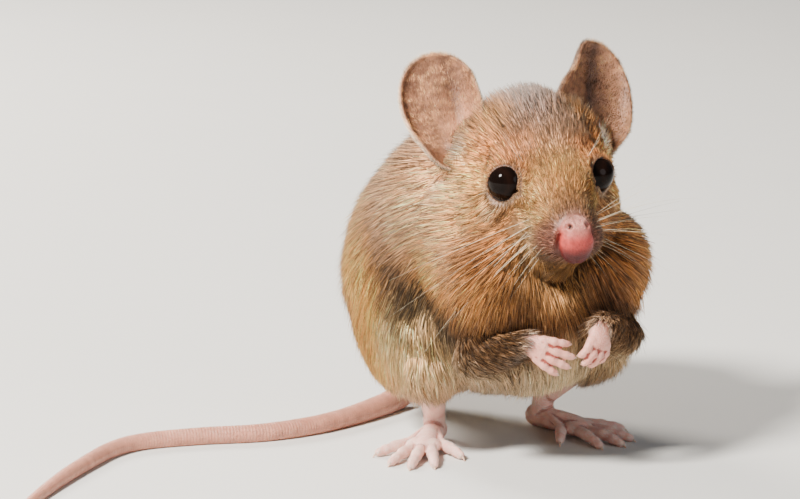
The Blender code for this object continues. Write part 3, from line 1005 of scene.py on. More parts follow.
class CoatMap:
    """The coat's colour, lie, length and dark share anywhere, blended from the named zones.

    A zone's weight falls as exp(-d^2 / (2 reach^2)), and the weights are scaled to sum to one.
    """

    def __init__(self) -> None:
        """Lays the zones out on both sides of the mouse."""
        rows = []
        for zone in ZONES:
            for side in (1, -1) if abs(zone.at[0]) > 0.5 else (1,):
                rows.append((zone, side))
        rows += [(zone, 1) for zone in arm_zones()]
        spin = HEAD[:3, :3]
        places, flows = [], []
        for zone, side in rows:
            place, flow = mirrored(zone.at, side), unit(mirrored(zone.flow, side))
            in_head = zone.where is Where.HEAD
            places.append(put(HEAD, place) if in_head else place)
            flows.append(spin @ flow if in_head else flow)
        self.places, self.flows = np.array(places), np.array(flows)
        self.reach = np.array([zone.reach for zone, _ in rows])
        self.colors = deepened(np.array([linear(zone.color) for zone, _ in rows]))
        self.numbers = np.array([(zone.length, zone.dark) for zone, _ in rows])

    def read(self, points: Array) -> tuple[Array, Array, Array]:
        """The coat at points.

        Args:
            points: places in the mouse's frame.

        Returns:
            Linear colours, unit directions of the lie, and rows of length and dark share.
        """
        colors, flows, numbers = [], [], []
        for chunk in np.array_split(points, max(1, len(points) // 40000)):
            gap = ((chunk[:, None] - self.places[None]) ** 2).sum(-1) / (2 * self.reach**2)
            gap -= gap.min(axis=1, keepdims=True)
            weight = np.exp(-gap)
            weight /= weight.sum(axis=1, keepdims=True)
            colors.append(weight @ self.colors)
            flows.append(weight @ self.flows)
            numbers.append(weight @ self.numbers)
        return np.concatenate(colors), unit(np.concatenate(flows)), np.concatenate(numbers)


# ---- flesh ----
class Part(Enum):
    """What a stretch of skin belongs to."""

    BODY = 0
    NOSE = 1
    EAR_RIGHT = 2
    EAR_LEFT = 3
    PAW = 4
    FOOT = 5
    TAIL = 6


EARS = {"right": Part.EAR_RIGHT, "left": Part.EAR_LEFT}


def egg(points: Array, center: Numbers, radii: Numbers, yaw: float = 0.0) -> Array:
    """Distances to an ellipsoid: k (k - 1) / |p / r^2| with k = |p / r|, nearly exact near its surface.

    Args:
        points: where to measure.
        center: its middle.
        radii: its half axes.
        yaw: its turn about Z in degrees.

    Returns:
        Distances, negative inside.
    """
    local = seen_from(turn((0, 0, yaw), center), points)
    r = np.array(radii, float)
    k = np.linalg.norm(local / r, axis=1)
    return k * (k - 1.0) / np.maximum(np.linalg.norm(local / r**2, axis=1), 1e-6)


def bone(points: Array, path: Sequence[Numbers], radii: Numbers) -> Array:
    """Distances to a limb: the distance from its bent middle line, less the radius at the nearest place.

    Args:
        points: where to measure.
        path: the limb's joints.
        radii: the radius at each joint.

    Returns:
        Distances, negative inside.
    """
    knots = np.array(path, float)
    away, along = line_distance(points, knots)
    reach = np.concatenate([[0.0], np.cumsum(np.linalg.norm(np.diff(knots, axis=0), axis=1))])
    return away - np.interp(along, reach, radii)


def joined_round(a: Array, b: Array, width: float) -> Array:
    """Two forms joined by a fillet: the smaller distance, less h^2 width / 4, h being 1 - |a - b| / width."""
    h = np.maximum(width - np.abs(a - b), 0.0) / width
    return np.minimum(a, b) - h * h * width * 0.25


HEAD_MASSES = (  # cheek, whisker pad, eye socket and the ear's foot: centre, radii and fillet
    ((5.5, 3.9, -4.8), (4.8, 6.4, 5.3), 3.5),
    ((2.4, -7.0, -4.9), (2.5, 2.9, 2.6), 1.5),
    ((5.7, 0.6, 0.0), (3.4, 3.4, 3.4), 1.0),
    ((8.8, 9.0, 3.2), (2.6, 3.2, 3.6), 3.0),
)


@dataclass
class Torso:
    """Head, trunk and legs under the coat: masses of flesh joined by fillets."""

    cell: float = 0.4
    least_coat: float = 0.25

    def head(self, points: Array) -> Array:
        """Skull, brow, muzzle, cheeks, pads, lower jaw, sockets and the ears' feet, in the head's frame.

        Args:
            points: places.

        Returns:
            Distances.
        """
        p = seen_from(HEAD, points)
        form = egg(p, (0, 7.0, 0.8), (7.9, 8.0, 6.6))
        form = joined_round(form, egg(p, (0, 0.4, -0.3), (6.0, 6.6, 4.7)), 4.5)
        muzzle = bone(p, [(0, 1.5, -2.3), (0, -4.5, -3.0), (0, -9.3, -4.0)], (5.6, 4.4, 2.75))
        form = joined_round(form, muzzle, 3.0)
        jaw = bone(p, [(0, -2.6, -7.6), (0, -7.2, -8.0)], (3.2, 1.7))
        form = joined_round(form, jaw, 2.0)
        for side in SIDES.values():
            for center, radii, fillet in HEAD_MASSES:
                form = joined_round(form, egg(p, mirrored(center, side), radii), fillet)
        return form

    def trunk(self, points: Array) -> Array:
        """Neck, back, belly, ruff, shoulders, thighs and the root of the tail.

        Args:
            points: places.

        Returns:
            Distances.
        """
        nape = tuple(put(HEAD, np.array([0.5, 9.5, -3.5])))
        back = [
            (nape, (9.5, 7.5, 8.2)),
            ((-0.6, 10.5, 30.2), (12.8, 9.0, 12.0)),
            ((-0.8, 19.0, 28.8), (14.8, 12.2, 14.2)),
            ((-0.2, 25.0, 25.2), (14.9, 12.8, 14.1)),
            ((0.0, 28.6, 21.8), (13.9, 12.3, 12.7)),
        ]
        belly = [
            ((-1.4, 4.8, 20.6), (9.8, 7.4, 9.0)),
            ((-0.4, 13.5, 17.8), (11.6, 11.0, 8.2)),
            ((0.0, 23.0, 17.6), (12.0, 11.2, 8.3)),
        ]
        form = joined_round(self.loft(points, back), self.loft(points, belly), 5.0)
        ruff = egg(seen_from(HEAD, points), (0.6, 10.5, -5.2), (10.8, 6.4, 9.2))
        form = joined_round(form, ruff, 3.5)
        tail = bone(points, [(0, 33, 12.5), (-1.0, 38.0, 5.4), (-1.8, 38.2, 4.8)], (5.4, 2.0, 1.9))
        form = joined_round(form, tail, 3.0)
        for side in SIDES.values():
            shoulder = egg(points, (side * 8.6, 4.6, 26.4), (5.0, 5.6, 6.6))
            form = joined_round(form, shoulder, 4.5)
            thigh = egg(points, (side * 11.2, 21.0, 15.8), (4.7, 10.2, 7.4), side * 6.0)
            form = joined_round(form, thigh, 8.0)
        return form

    @staticmethod
    def loft(points: Array, keys: Sequence[tuple]) -> Array:
        """The union of ellipsoids whose centres and radii run evenly from one key to the next.

        Args:
            points: places.
            keys: centres with radii.

        Returns:
            Distances.
        """
        centers, radii = (np.array([key[i] for key in keys]) for i in (0, 1))
        form = np.full(len(points), 99.0)
        for step in np.linspace(0, len(keys) - 1, 4 * (len(keys) - 1) + 1):
            i = min(int(step), len(keys) - 2)
            t = step - i
            mix = [rows[i] * (1 - t) + rows[i + 1] * t for rows in (centers, radii)]
            form = np.minimum(form, egg(points, *mix))
        return form

    def legs(self, points: Array) -> Array:
        """Upper arms, forearms as far as the palms, knees and shins.

        Args:
            points: places.

        Returns:
            Distances.
        """
        form = np.full(len(points), 99.0)
        for word in SIDES:
            shoulder, elbow, wrist = ELBOWS[word]
            palm = tuple(np.array(wrist) + unit(np.array(FOREPAWS[word][1])) * 0.7)
            form = np.minimum(form, bone(points, [shoulder, elbow, wrist, palm], (2.6, 2.1, 1.2, 1.1)))
            knee, ankle = KNEES[word]
            hip = (knee[0] * 0.75, 22.0, 16.0)
            form = np.minimum(form, bone(points, [hip, knee, ankle], (4.8, 2.3, 1.5)))
        return form

    def build(self, hull: Field) -> Shape:
        """All of it as one smooth closed form that stays inside the solids by the thinnest coat.

        Args:
            hull: the solids' outer surface.

        Returns:
            The form.
        """
        made, places = Field.over((-21, -14, -1), (21, 46, 53), self.cell)
        depth = hull.read(places)
        near = depth < 1.2
        points = places[near]
        form = joined_round(self.head(points), self.trunk(points), 3.0)
        form = joined_round(form, self.legs(points), 2.5)
        values = np.full(len(places), 2.0, np.float32)
        values[near] = np.maximum(form, depth[near] + self.least_coat)
        made.values = values.reshape(made.values.shape)
        return made.surface()


@dataclass
class Ear:
    """One ear: a cupped, egg-shaped shell with a deep fold, thick at its foot and thin at its rim."""

    word: str
    thick_foot: float = 0.95
    thick_rim: float = 0.40

    @property
    def fold(self) -> float:
        """How far across the long fold lies."""
        return 0.34 if self.word == "right" else -0.04

    @property
    def lit(self) -> float:
        """How strongly the painted glow of light through the ear is laid on."""
        return 1.0 if self.word == "right" else 0.4

    def frame(self) -> Array:
        """The ear's frame: its middle, +Y to its tip and +Z the way its hollow looks.

        Returns:
            The frame's placement.
        """
        flip = np.array([SIDES[self.word], 1.0, 1.0])
        notch, tip = put(HEAD, EAR_NOTCH * flip), put(HEAD, EAR_TIP * flip)
        face = HEAD[:3, :3] @ (np.array(EAR_FACES[self.word]) * flip)
        return axes_frame((notch + tip) / 2, tip - notch, face)

    def half_height(self) -> float:
        """Half the length from notch to tip."""
        return float(np.linalg.norm(EAR_TIP - EAR_NOTCH) / 2)

    def place(self, points: Array) -> tuple[Array, Array, Array]:
        """Where points lie on the ear.

        Args:
            points: places in the mouse's frame.

        Returns:
            Across, 1 at the inner edge and -1 at the outer; up, 1 at the tip; and how far from the middle.
        """
        local = seen_from(self.frame(), points)
        wide = -SIDES[self.word] * local[:, 0] / EAR_HALF_WIDTH
        up = local[:, 1] / self.half_height()
        across = wide
        for _ in range(3):
            across = wide / self.stretch(np.clip(across, -1.0, 1.0), up)
        return across, up, np.hypot(across, up)

    def crease(self, across: Array, up: Array) -> Array:
        """How near places are to the fold's shaded bottom, fading towards the foot."""
        return hump(across - self.fold, 0.15) * smooth(-0.9, -0.2, up)

    @staticmethod
    def glow(across: Array, up: Array) -> Array:
        """How near places are to the thin patch low in front where a glow of light shining through is
        painted.
        """
        return hump(np.hypot((across - 0.46) / 0.36, (up + 0.42) / 0.42), 1.0)

    def stretch(self, across: Array, up: Array) -> Array:
        """How much wider the bowl is than an ellipse: broad above, its front rolled in or slanting.

        Args:
            across: places across, 1 at the inner edge and -1 at the outer.
            up: places up, 1 at the tip.

        Returns:
            A factor on the width for each.
        """
        roll = smooth(0.55, 1.0, across) * smooth(0.85, 0.2, up)
        slant = smooth(0.0, 1.0, across) * (0.75 * smooth(0.5, -0.4, up) - 0.45 * smooth(0.1, 0.9, up))
        return (1.0 + 0.13 * up) * (1.0 - 0.12 * roll) * (1.0 + slant * (self.word == "left"))

    def bowl(self, polar: Array, angle: Array) -> Array:
        """The shell's middle surface: the lower half of an ellipsoid, wider above and deeper below.

        A valley runs up along the fold, the strip before it rolls forward, the outer third ripples, a small
        ridge stands at the foot, and the notch sinks into the head.

        Args:
            polar: angles from the bottom of the bowl, 0, to its rim, pi / 2.
            angle: angles round the bowl.

        Returns:
            Points in the ear's frame.
        """
        x, y, z = np.sin(polar) * np.cos(angle), np.sin(polar) * np.sin(angle), -np.cos(polar)
        across = -SIDES[self.word] * x
        valley = hump(across - self.fold, 0.22) * smooth(1.0, 0.7, np.sin(polar)) * smooth(0.95, 0.4, y)
        ripple = np.sin(y * 9.0 + across * 2.0) * smooth(0.25, -0.3, across) * smooth(1.0, 0.8, np.sin(polar))
        roll = smooth(0.55, 1.0, across) * smooth(0.85, 0.2, y)
        ridge = hump(across - 0.05, 0.22) * hump(y + 0.62, 0.2)
        sink = smooth(-0.5, -1.0, y)
        rolled = 1.1 if self.word == "right" else 0.1
        deep = EAR_DEPTH * z * (1.0 - 0.35 * y) - 0.45 * valley + 0.12 * ripple
        deep = deep + rolled * roll + 0.8 * ridge - 2.0 * sink
        wide = EAR_HALF_WIDTH * x * self.stretch(across, y)
        return np.stack([wide, self.half_height() * y, deep], axis=-1)

    def build(self) -> Shape:
        """The shell between two surfaces, half its thickness to either side of the bowl.

        Returns:
            The closed shell, in the mouse's frame.
        """
        polar = np.linspace(0.02, math.pi / 2, 44)[:, None]
        angle = np.linspace(0, 2 * math.pi, 96, endpoint=False)[None, :]
        middle = self.bowl(polar, angle)
        down = self.bowl(polar + 0.01, angle) - self.bowl(polar - 0.01, angle)
        around = self.bowl(polar, angle + 0.01) - self.bowl(polar, angle - 0.01)
        normal = unit(np.cross(around, down))
        share = (polar / (math.pi / 2)) ** 1.5
        half = 0.5 * (self.thick_foot + (self.thick_rim - self.thick_foot) * share)[..., None]
        rings = np.concatenate([(middle + normal * half), (middle - normal * half)[::-1]])
        return stacked(rings).outward().moved(self.frame())


def digit_path(root: Numbers, spread_by: float, length: float, bend: float) -> Array:
    """A finger or toe of three bones: it leaves at an angle and bends down more at each joint.

    Args:
        root: where it leaves the paw.
        spread_by: degrees aside from +Y.
        length: its whole length.
        bend: degrees at a joint.

    Returns:
        Its four joints, in the paw's frame.
    """
    heading = math.radians(spread_by)
    points = [np.array(root, float)]
    for share, more in ((0.45, 0.3), (0.35, 1.0), (0.2, 1.5)):  # of the length, and of the bend
        pitch = math.radians(bend) * more
        flat = math.cos(pitch)
        step = np.array([math.sin(heading) * flat, math.cos(heading) * flat, -math.sin(pitch)])
        points.append(points[-1] + step * length * share)
    return np.array(points)


def knuckled(path: Array, radii: Numbers, at: Array) -> Shape:
    """A digit's skin: it swells at each knuckle and at the pad under its tip, and narrows between.

    The radius is the bones' own, times one plus a bell of 0.12 at each joint and at the tip.

    Args:
        path: the joints, in the paw's frame.
        radii: the radius at each.
        at: the paw's frame.

    Returns:
        The closed digit, in the mouse's frame.
    """
    steps = np.linspace(0, 3, 31)
    line = np.stack([np.interp(steps, np.arange(4), path[:, axis]) for axis in range(3)], axis=1)
    for _ in range(3):
        line[1:-1] = (line[:-2] + 2 * line[1:-1] + line[2:]) / 4
    swell = 0.12 * hump(steps - 1, 0.25) + 0.10 * hump(steps - 2, 0.22) + 0.10 * hump(steps - 2.8, 0.3)
    swell -= 0.08 * hump(steps - 1.5, 0.25) + 0.06 * hump(steps - 2.4, 0.2)
    return swept(line, np.interp(steps, np.arange(4), radii) * (1 + swell), 16, (0, 0, 1)).moved(at)


@dataclass
class Forepaw:
    """A hand of four fingers with its palm pads."""

    word: str
    radii: tuple = (0.62, 0.58, 0.53, 0.42)  # a finger's, from knuckle to tip

    def frame(self) -> Array:
        """The paw's frame: the wrist, +Y to the fingertips and +Z out of the back of the hand."""
        return axes_frame(*FOREPAWS[self.word][:3])

    def fingers(self) -> tuple:
        """Each finger's place across the palm, length and spread; the left hand is closed.

        Returns:
            A row for each finger, its spread in degrees.
        """
        if self.word == "left":
            return ((-1.3, 2.9, -9), (-0.45, 3.5, -3), (0.45, 3.5, 3), (1.3, 2.8, 9))
        return ((-1.35, 3.3, -13), (-0.45, 4.2, -3), (0.5, 4.1, 5), (1.35, 3.4, 17))

    def paths(self) -> list[Array]:
        """Each finger's joints, in the paw's frame.

        Returns:
            A path for each finger.
        """
        bend = FOREPAWS[self.word][3]
        return [
            digit_path((x, 2.3 - abs(x) * 0.35, 0.05), spread_by, length, bend)
            for x, length, spread_by in self.fingers()
        ]

    def build(self) -> list[Shape]:
        """Palm, knuckles, pads and fingers.

        Returns:
            Closed shapes that overlap.
        """
        at = self.frame()
        palm = ellipsoid((0, 1.3, 0), (1.65, 1.9, 0.95), at)
        knuckles = ellipsoid((0, 2.3, 0.1), (1.75, 0.8, 0.72), at)
        made = [palm, knuckles]
        pads = ((-0.9, 2.2), (0, 2.5), (0.95, 2.2), (-0.7, 0.7), (0.75, 0.7))
        made += [ellipsoid((x, y, -0.65), (0.55, 0.5, 0.45), at) for x, y in pads]
        return made + [knuckled(path, self.radii, at) for path in self.paths()]


@dataclass
class Hindfoot:
    """A long flat foot of five toes."""

    word: str
    toes: tuple = (  # each one's place across and along the foot, length and spread
        (-2.3, 8.2, 4.6, -46), (-1.3, 10.6, 6.2, -16), (0, 11.2, 6.6, 0),
        (1.3, 10.6, 6.2, 16), (2.3, 8.2, 5.2, 42),
    )
    radii: tuple = (0.82, 0.74, 0.68, 0.52)

    def frame(self) -> Array:
        """The foot's frame: the heel on the floor and +Y to the toes."""
        heel, toward = HINDFEET[self.word]
        return axes_frame((*heel, 0.0), (*toward, 0.0), (0, 0, 1))

    def paths(self) -> list[Array]:
        """Each toe's joints, in the foot's frame.

        Returns:
            A path for each toe.
        """
        side = SIDES[self.word]
        return [
            digit_path((-side * x, y, 1.15), -side * spread_by, length, 8)
            for x, y, length, spread_by in self.toes
        ]

    def build(self) -> list[Shape]:
        """Sole, ankle, instep tendons, pads and toes.

        Returns:
            Closed shapes that overlap.
        """
        at = self.frame()
        made = [
            limb([(0, 0.9, 1.45), (0, 8.5, 1.4), (0, 10.6, 1.15)], [1.6, 1.45, 1.2], at),
            limb([(0, 2.0, 2.0), (0, 2.6, 5.4)], [1.55, 1.5], at, up=(1, 0, 0)),
            ellipsoid((0, 9.4, 1.25), (2.5, 2.3, 1.15), at),
        ]
        for path in self.paths():
            tendon = [(path[0][0] * 0.35, 4.0, 2.3), tuple(path[0] + (0, 0, 0.3))]
            made.append(limb(tendon, [0.42, 0.5], at))
            made.append(knuckled(path, self.radii, at))
        return made


@dataclass
class Tail:
    """The tail, lying on the floor."""

    def path(self) -> tuple[Array, Array]:
        """The middle line's points and radii.

        Returns:
            The points, and their radii.
        """
        flat = curve_through(TAIL_KNOTS, 160)
        share = np.linspace(0, 1, len(flat))
        radius = np.interp(share, np.linspace(0, 1, len(TAIL_RADII)), TAIL_RADII)
        lift = TAIL_LIFT * np.maximum(0.0, 1.0 - share / 0.1) ** 2
        return np.column_stack([flat, radius - FLOOR_DIP + lift]), radius

    def build(self) -> Shape:
        """The tapered tube, a coat's depth thinner than its solid."""
        path, radius = self.path()
        return swept(path, radius - 0.08, 24)


@dataclass
class EyeRegion:
    """The skin round one eye: where its lids open."""

    side: int

    def center(self) -> Array:
        """The eyeball's centre in the head's frame."""
        return mirrored(EYE_AT, self.side)

    def gaze(self) -> Array:
        """The way the eye looks."""
        return mirrored(GAZE, self.side)

    def measure(self, points: Array) -> tuple[Array, Array]:
        """Where points lie against the lids' edge.

        Round the lids' axis the opening reaches 50 degrees, less 11 cos(t) and 6.5 cos(2t), where t is the
        turn from the nose's side. A bell of 11 degrees makes the corner towards the nose, and one of 8 lowers
        the lower lid. On the left the front above is wider by 8, and the back narrower by 9.

        Args:
            points: places in the head's frame.

        Returns:
            Distances from the eyeball's centre, and degrees outside the lids' edge, negative inside.
        """
        out = points - self.center()
        away = np.linalg.norm(out, axis=1)
        gaze = mirrored(LID_AXIS, self.side)
        tilt = np.degrees(np.arccos(np.clip(out @ gaze / np.maximum(away, 1e-6), -1, 1)))
        forward = unit(np.array([0.0, -1.0, 0.0]) + gaze[1] * gaze)
        upward = unit(np.cross(forward, gaze)) * self.side
        turned = np.degrees(np.arctan2(out @ upward, out @ forward))
        angle = np.radians(turned)
        edge = 50.0 - 11.0 * np.cos(angle) - 6.5 * np.cos(2 * angle) + 11.0 * hump(turned + 2.0, 11.0)
        edge += 8.0 * hump(turned + 105.0, 40.0)
        if self.side > 0:
            edge += 8.0 * hump(turned - 40.0, 40.0) - 9.0 * smooth(95.0, 150.0, np.abs(turned))
        return away, tilt - edge


NOSTRIL = ((1.2, -11.1, -1.45), (1.4, -10.9, -1.3), (1.7, -10.6, -1.4))
NOSTRIL_WAY = (-0.6, 0.4, -0.7)
LIPS = ((0, -11.2, -7.1), (1.7, -10.0, -7.8), (3.0, -8.0, -8.4), (3.8, -5.5, -8.4))
GROOVE = ((0, -12.5, -5.0), (0, -12.1, -6.2), (0, -11.2, -7.1))


@dataclass
class Skin:
    """The one skin of the whole mouse, sculpted, coloured and thinned where the coat hides it."""

    coat_map: CoatMap
    hull: Field
    budget: int = 188000
    shape: Shape = field(init=False)
    part: Array = field(init=False)

    def sources(self) -> dict[Part, list[Shape]]:
        """Every closed form that the skin goes over, by what it belongs to.

        Returns:
            Lists of closed shapes.
        """
        tip = ellipsoid((0, -10.9, -4.25), (2.3, 1.8, 2.85), HEAD)
        top = ellipsoid((0, -10.1, -2.5), (2.0, 2.0, 1.75), HEAD)
        found = {Part.BODY: [Torso().build(self.hull)], Part.NOSE: [tip, top], Part.PAW: [], Part.FOOT: []}
        for word, part in EARS.items():
            found[part] = [Ear(word).build()]
            found[Part.PAW] += Forepaw(word).build()
            found[Part.FOOT] += Hindfoot(word).build()
            knee, ankle = (np.array(place) for place in KNEES[word])
            found[Part.FOOT].append(limb([ankle + (knee - ankle) * 0.5, ankle], [1.95, 1.6], np.eye(4)))
        found[Part.TAIL] = [Tail().build()]
        return found

    def build(self) -> None:
        """Merges, labels, sculpts and thins the skin."""
        sources = self.sources()
        LOG.info("flesh formed")
        fields = {part: Field.of_shape(Shape.joined(shapes), 0.25, 1.5) for part, shapes in sources.items()}
        remesh = ("REMESH", {"mode": "VOXEL", "voxel_size": 0.17})
        relax = ("SMOOTH", {"factor": 0.5, "iterations": 3})
        everything = Shape.joined([shape for shapes in sources.values() for shape in shapes])
        whole = through_modifiers(everything, [remesh, relax])
        LOG.info("skin merged: %d triangles", len(whole.faces))
        part = self.label(whole.points, fields)
        whole = Shape(self.flattened(self.sculpted(whole.points)), whole.faces)
        keep = self.importance(whole.points, part)
        ratio = min(1.0, self.budget / len(whole.faces))
        thinned = {"ratio": ratio, "vertex_group": "keep", "vertex_group_factor": 3.0}
        thinned["invert_vertex_group"] = True
        self.shape = through_modifiers(whole, [("DECIMATE", thinned)], keep)
        self.part = self.label(self.shape.points, fields)

    @staticmethod
    def label(points: Array, fields: dict[Part, Field]) -> Array:
        """What each point belongs to: the part whose surface lies nearest.

        Args:
            points: the skin's points.
            fields: each part's field of distances.

        Returns:
            The part's number for each point.
        """
        parts = list(fields)
        away = np.stack([np.abs(fields[part].read(points)) for part in parts])
        return np.array([part.value for part in parts])[away.argmin(axis=0)]

    @staticmethod
    def importance(points: Array, part: Array) -> Array:
        """How closely each stretch of skin is kept: most on the face, ears, paws, feet and tail.

        Args:
            points: the skin's points.
            part: their parts.

        Returns:
            Numbers from 0 to 1.
        """
        keep = np.where(part == Part.BODY.value, 0.0, 0.75)
        local = seen_from(HEAD, points)
        face = 0.5 * smooth(9.0, 4.0, np.linalg.norm(local - (0, -5.0, -2.5), axis=1))
        for side in SIDES.values():
            near = smooth(4.6, 3.6, np.linalg.norm(local - mirrored(EYE_AT, side), axis=1))
            face = np.maximum(face, near)
        return np.where(part == Part.NOSE.value, 1.0, np.maximum(keep, face))

    @staticmethod
    def flattened(points: Array) -> Array:
        """Points no lower than the floor."""
        return np.column_stack([points[:, :2], np.maximum(points[:, 2], 0.0)])

    def sculpted(self, points: Array) -> Array:
        """The skin with its lids, nostrils, lips and mouth.

        Args:
            points: the skin's points.

        Returns:
            The points moved.
        """
        local = seen_from(HEAD, points)
        near = np.linalg.norm(local - (0, -4.0, -2.0), axis=1) < 13.0
        work = local[near]
        for side in SIDES.values():
            work = self.lids(work, EyeRegion(side))
        local[near] = self.nose_and_mouth(work)
        return put(HEAD, local)

    @staticmethod
    def lids(points: Array, region: EyeRegion) -> Array:
        """Skin drawn over the eyeball and sunk behind it in the opening, with a rounded rim along the edge.

        Over the ball the skin's distance from its centre becomes the radius plus 0.05 mm, and 0.17 mm more in
        a bell 4 degrees outside the edge. From 5 to 16 degrees outside it goes back to its own.

        Args:
            points: places in the head's frame.
            region: the eye's surroundings.

        Returns:
            The points moved.
        """
        away, past = region.measure(points)
        lid = EYE_RADIUS + 0.05 + 0.17 * hump(past - 4.0, 3.0)
        sunk = EYE_RADIUS * 0.84
        target = sunk + (lid - sunk) * smooth(0.0, 3.0, past)
        share = (1.0 - smooth(5.0, 16.0, past)) * (away < 5.2)
        moved = away + (target - away) * share
        return region.center() + (points - region.center()) * (moved / np.maximum(away, 1e-6))[:, None]

    @staticmethod
    def nose_and_mouth(points: Array) -> Array:
        """Nostrils with their wings, the groove under the nose and the mouth, pressed in along short lines.

        Args:
            points: places in the head's frame.

        Returns:
            The points moved.
        """
        made = points.copy()
        for side in SIDES.values():
            away, _ = line_distance(points, mirrored(NOSTRIL, side))
            made += 0.85 * hump(away, 0.28)[:, None] * unit(mirrored(NOSTRIL_WAY, side))
            made += 0.06 * hump(away - 0.6, 0.25)[:, None] * unit(np.array([side * 0.4, -0.8, 0.4]))
            away, _ = line_distance(points, mirrored(LIPS, side))
            made += 0.45 * hump(away, 0.32)[:, None] * unit(np.array([-side * 0.3, 0.8, 0.35]))
        away, _ = line_distance(points, np.array(GROOVE, float))
        made[:, 1] += 0.25 * hump(away, 0.22)
        return made

    def dress(self) -> bpy.types.Object:
        """Colours the skin and makes its object, which stands for every solid of flesh.

        Returns:
            The object.
        """
        shape = self.shape
        masks = {kind: shape.spread((self.part == kind.value).astype(float), 4) for kind in Part}
        tint = self.coat_map.read(shape.points)[0] * 0.40
        tint = self.paint_face(tint, shape.points, masks)
        for word, part in EARS.items():
            tint = self.paint_ear(tint, shape.points, shape.normals(), masks[part], Ear(word))
        tint = self.paint_limbs(tint, shape, masks)
        _, along = line_distance(shape.points, Tail().path()[0])
        ring = (along + 1.2) * (masks[Part.TAIL] > 0.5)
        extras = {"bare": np.clip(1.0 - masks[Part.BODY], 0, 1), "ring": ring}
        obj = piece("skin", shape, SkinFinish().build(), np.clip(tint, 0.002, 1.0), extras)
        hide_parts(*(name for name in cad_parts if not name.startswith("eye_")))
        return obj

    @staticmethod
    def paint_face(tint: Array, points: Array, masks: dict[Part, Array]) -> Array:
        """The face: a nose pink above and deep red below, paler on top as a painted highlight and near black
        at the bottom as painted shade; nostrils and the mouth line dark with painted shade; dark lids;
        spotted pads.

        Args:
            tint: colours so far.
            points: the skin's points.
            masks: each part's share.

        Returns:
            The colours.
        """
        local = seen_from(HEAD, points)
        nose = masks[Part.NOSE]
        # the nose's own pink and red, with painted light: paler on top as a painted highlight, near black-red
        # at the bottom as painted shade
        low, lowest = smooth(-1.0, -3.4, local[:, 2]), smooth(-3.3, -5.4, local[:, 2])
        red = mixed(mixed(linear("b8786c"), linear("a83c36"), low), linear("440c0e"), lowest)
        red = red * (1 + 0.20 * noise(points, 0.45, 3) + 0.22 * noise(points, 0.2, 4))[:, None]
        tint = mixed(tint, red, nose)
        for side in SIDES.values():
            pad = hump(np.linalg.norm(local - np.array([side * 2.7, -9.0, -4.0]), axis=1), 1.6) * (1 - nose)
            tint = mixed(tint, linear("7a423a") * (1 + 0.4 * noise(points, 0.5, 9))[:, None], 0.8 * pad)
            # painted shade: near black inside each pressed-in nostril
            mouth = mirrored(NOSTRIL, side)[1]
            bore = np.stack([mouth, mouth + 1.1 * unit(mirrored(NOSTRIL_WAY, side))])
            away, _ = line_distance(local, bore)
            tint = mixed(tint, linear("1a0606"), np.exp(-((away / 0.36) ** 4)))
            # painted shade: dark red-brown along the pressed-in mouth line
            away, _ = line_distance(local, mirrored(LIPS, side)[:3])
            tint = mixed(tint, linear("4a211e"), 0.8 * hump(away, 0.4))
            away, past = EyeRegion(side).measure(local)
            close = (away < 4.2).astype(float)
            ring = mixed(linear("5a4236"), linear("a88c7a"), smooth(0.6, -1.6, local[:, 2] - EYE_AT[2]))
            tint = mixed(tint, ring, 0.9 * close * smooth(3.0, 5.0, past) * (1 - smooth(9.0, 16.0, past)))
            tint = mixed(tint, linear("120b0b"), close * (1 - smooth(2.2, 4.2, past)))
        return tint

    @staticmethod
    def paint_ear(tint: Array, points: Array, normals: Array, mask: Array, ear: Ear) -> Array:
        """An ear: mottled inside, painted shade down its fold, peach low in front with painted light shining
        through, pale at the rim, brown behind.

        Args:
            tint: colours so far.
            points: the skin's points.
            normals: their normals.
            mask: the ear's share.
            ear: the ear.

        Returns:
            The colours.
        """
        across, up, reach = ear.place(points)
        inside = smooth(-0.2, 0.3, normals @ ear.frame()[:3, 2])
        peach = ear.glow(across, up)
        rim = smooth(0.985, 1.02, reach) * smooth(0.6, 0.2, across * (ear.word == "left"))
        speckle = np.clip(noise(points, 0.42, 5) + 0.6 * noise(points, 0.2, 6), -1, 1)
        front = linear("8e6248") * (1 + 0.40 * speckle)[:, None]
        # the ear's own pink-peach, brightened as painted light shining through the thin ear
        front = mixed(front, linear("eaa27a"), peach * ear.lit)
        # painted shade: darker skin down the fold's bottom
        shaded = 0.75 * ear.crease(across, up) * (1 - peach * (ear.word == "right"))
        front = mixed(front, linear("4c3025"), shaded)
        front = mixed(front, linear("c49a7c"), rim)
        return mixed(tint, mixed(np.broadcast_to(linear("5e4234"), front.shape), front, inside), mask)

    @staticmethod
    def paint_limbs(tint: Array, shape: Shape, masks: dict[Part, Array]) -> Array:
        """Pale pink paws, feet and tail, with painted shade in dark red between the fingers and toes.

        A hollow is where the skin softened by its neighbours stands out over the skin itself.

        Args:
            tint: colours so far.
            shape: the skin.
            masks: each part's share.

        Returns:
            The colours.
        """
        blotch = (1 + 0.10 * noise(shape.points, 1.1, 8))[:, None]
        soft = np.stack([shape.spread(shape.points[:, axis], 4) for axis in range(3)], axis=1)
        # painted shade: the hollows between fingers and toes, darkened below
        hollow = smooth(0.0, 0.022, dot(soft - shape.points, shape.normals()))
        hues = ((Part.PAW, "dc9c8c", 1.0), (Part.FOOT, "e8baac", 0.6), (Part.TAIL, "c48a76", 0.0))
        for part, color, deep in hues:
            tint = mixed(tint, linear(color) * blotch, masks[part])
            # painted shade: dark red in the hollows, fullest on the paws
            tint = mixed(tint, linear("8e3c32"), deep * masks[part] * hollow)
        return tint


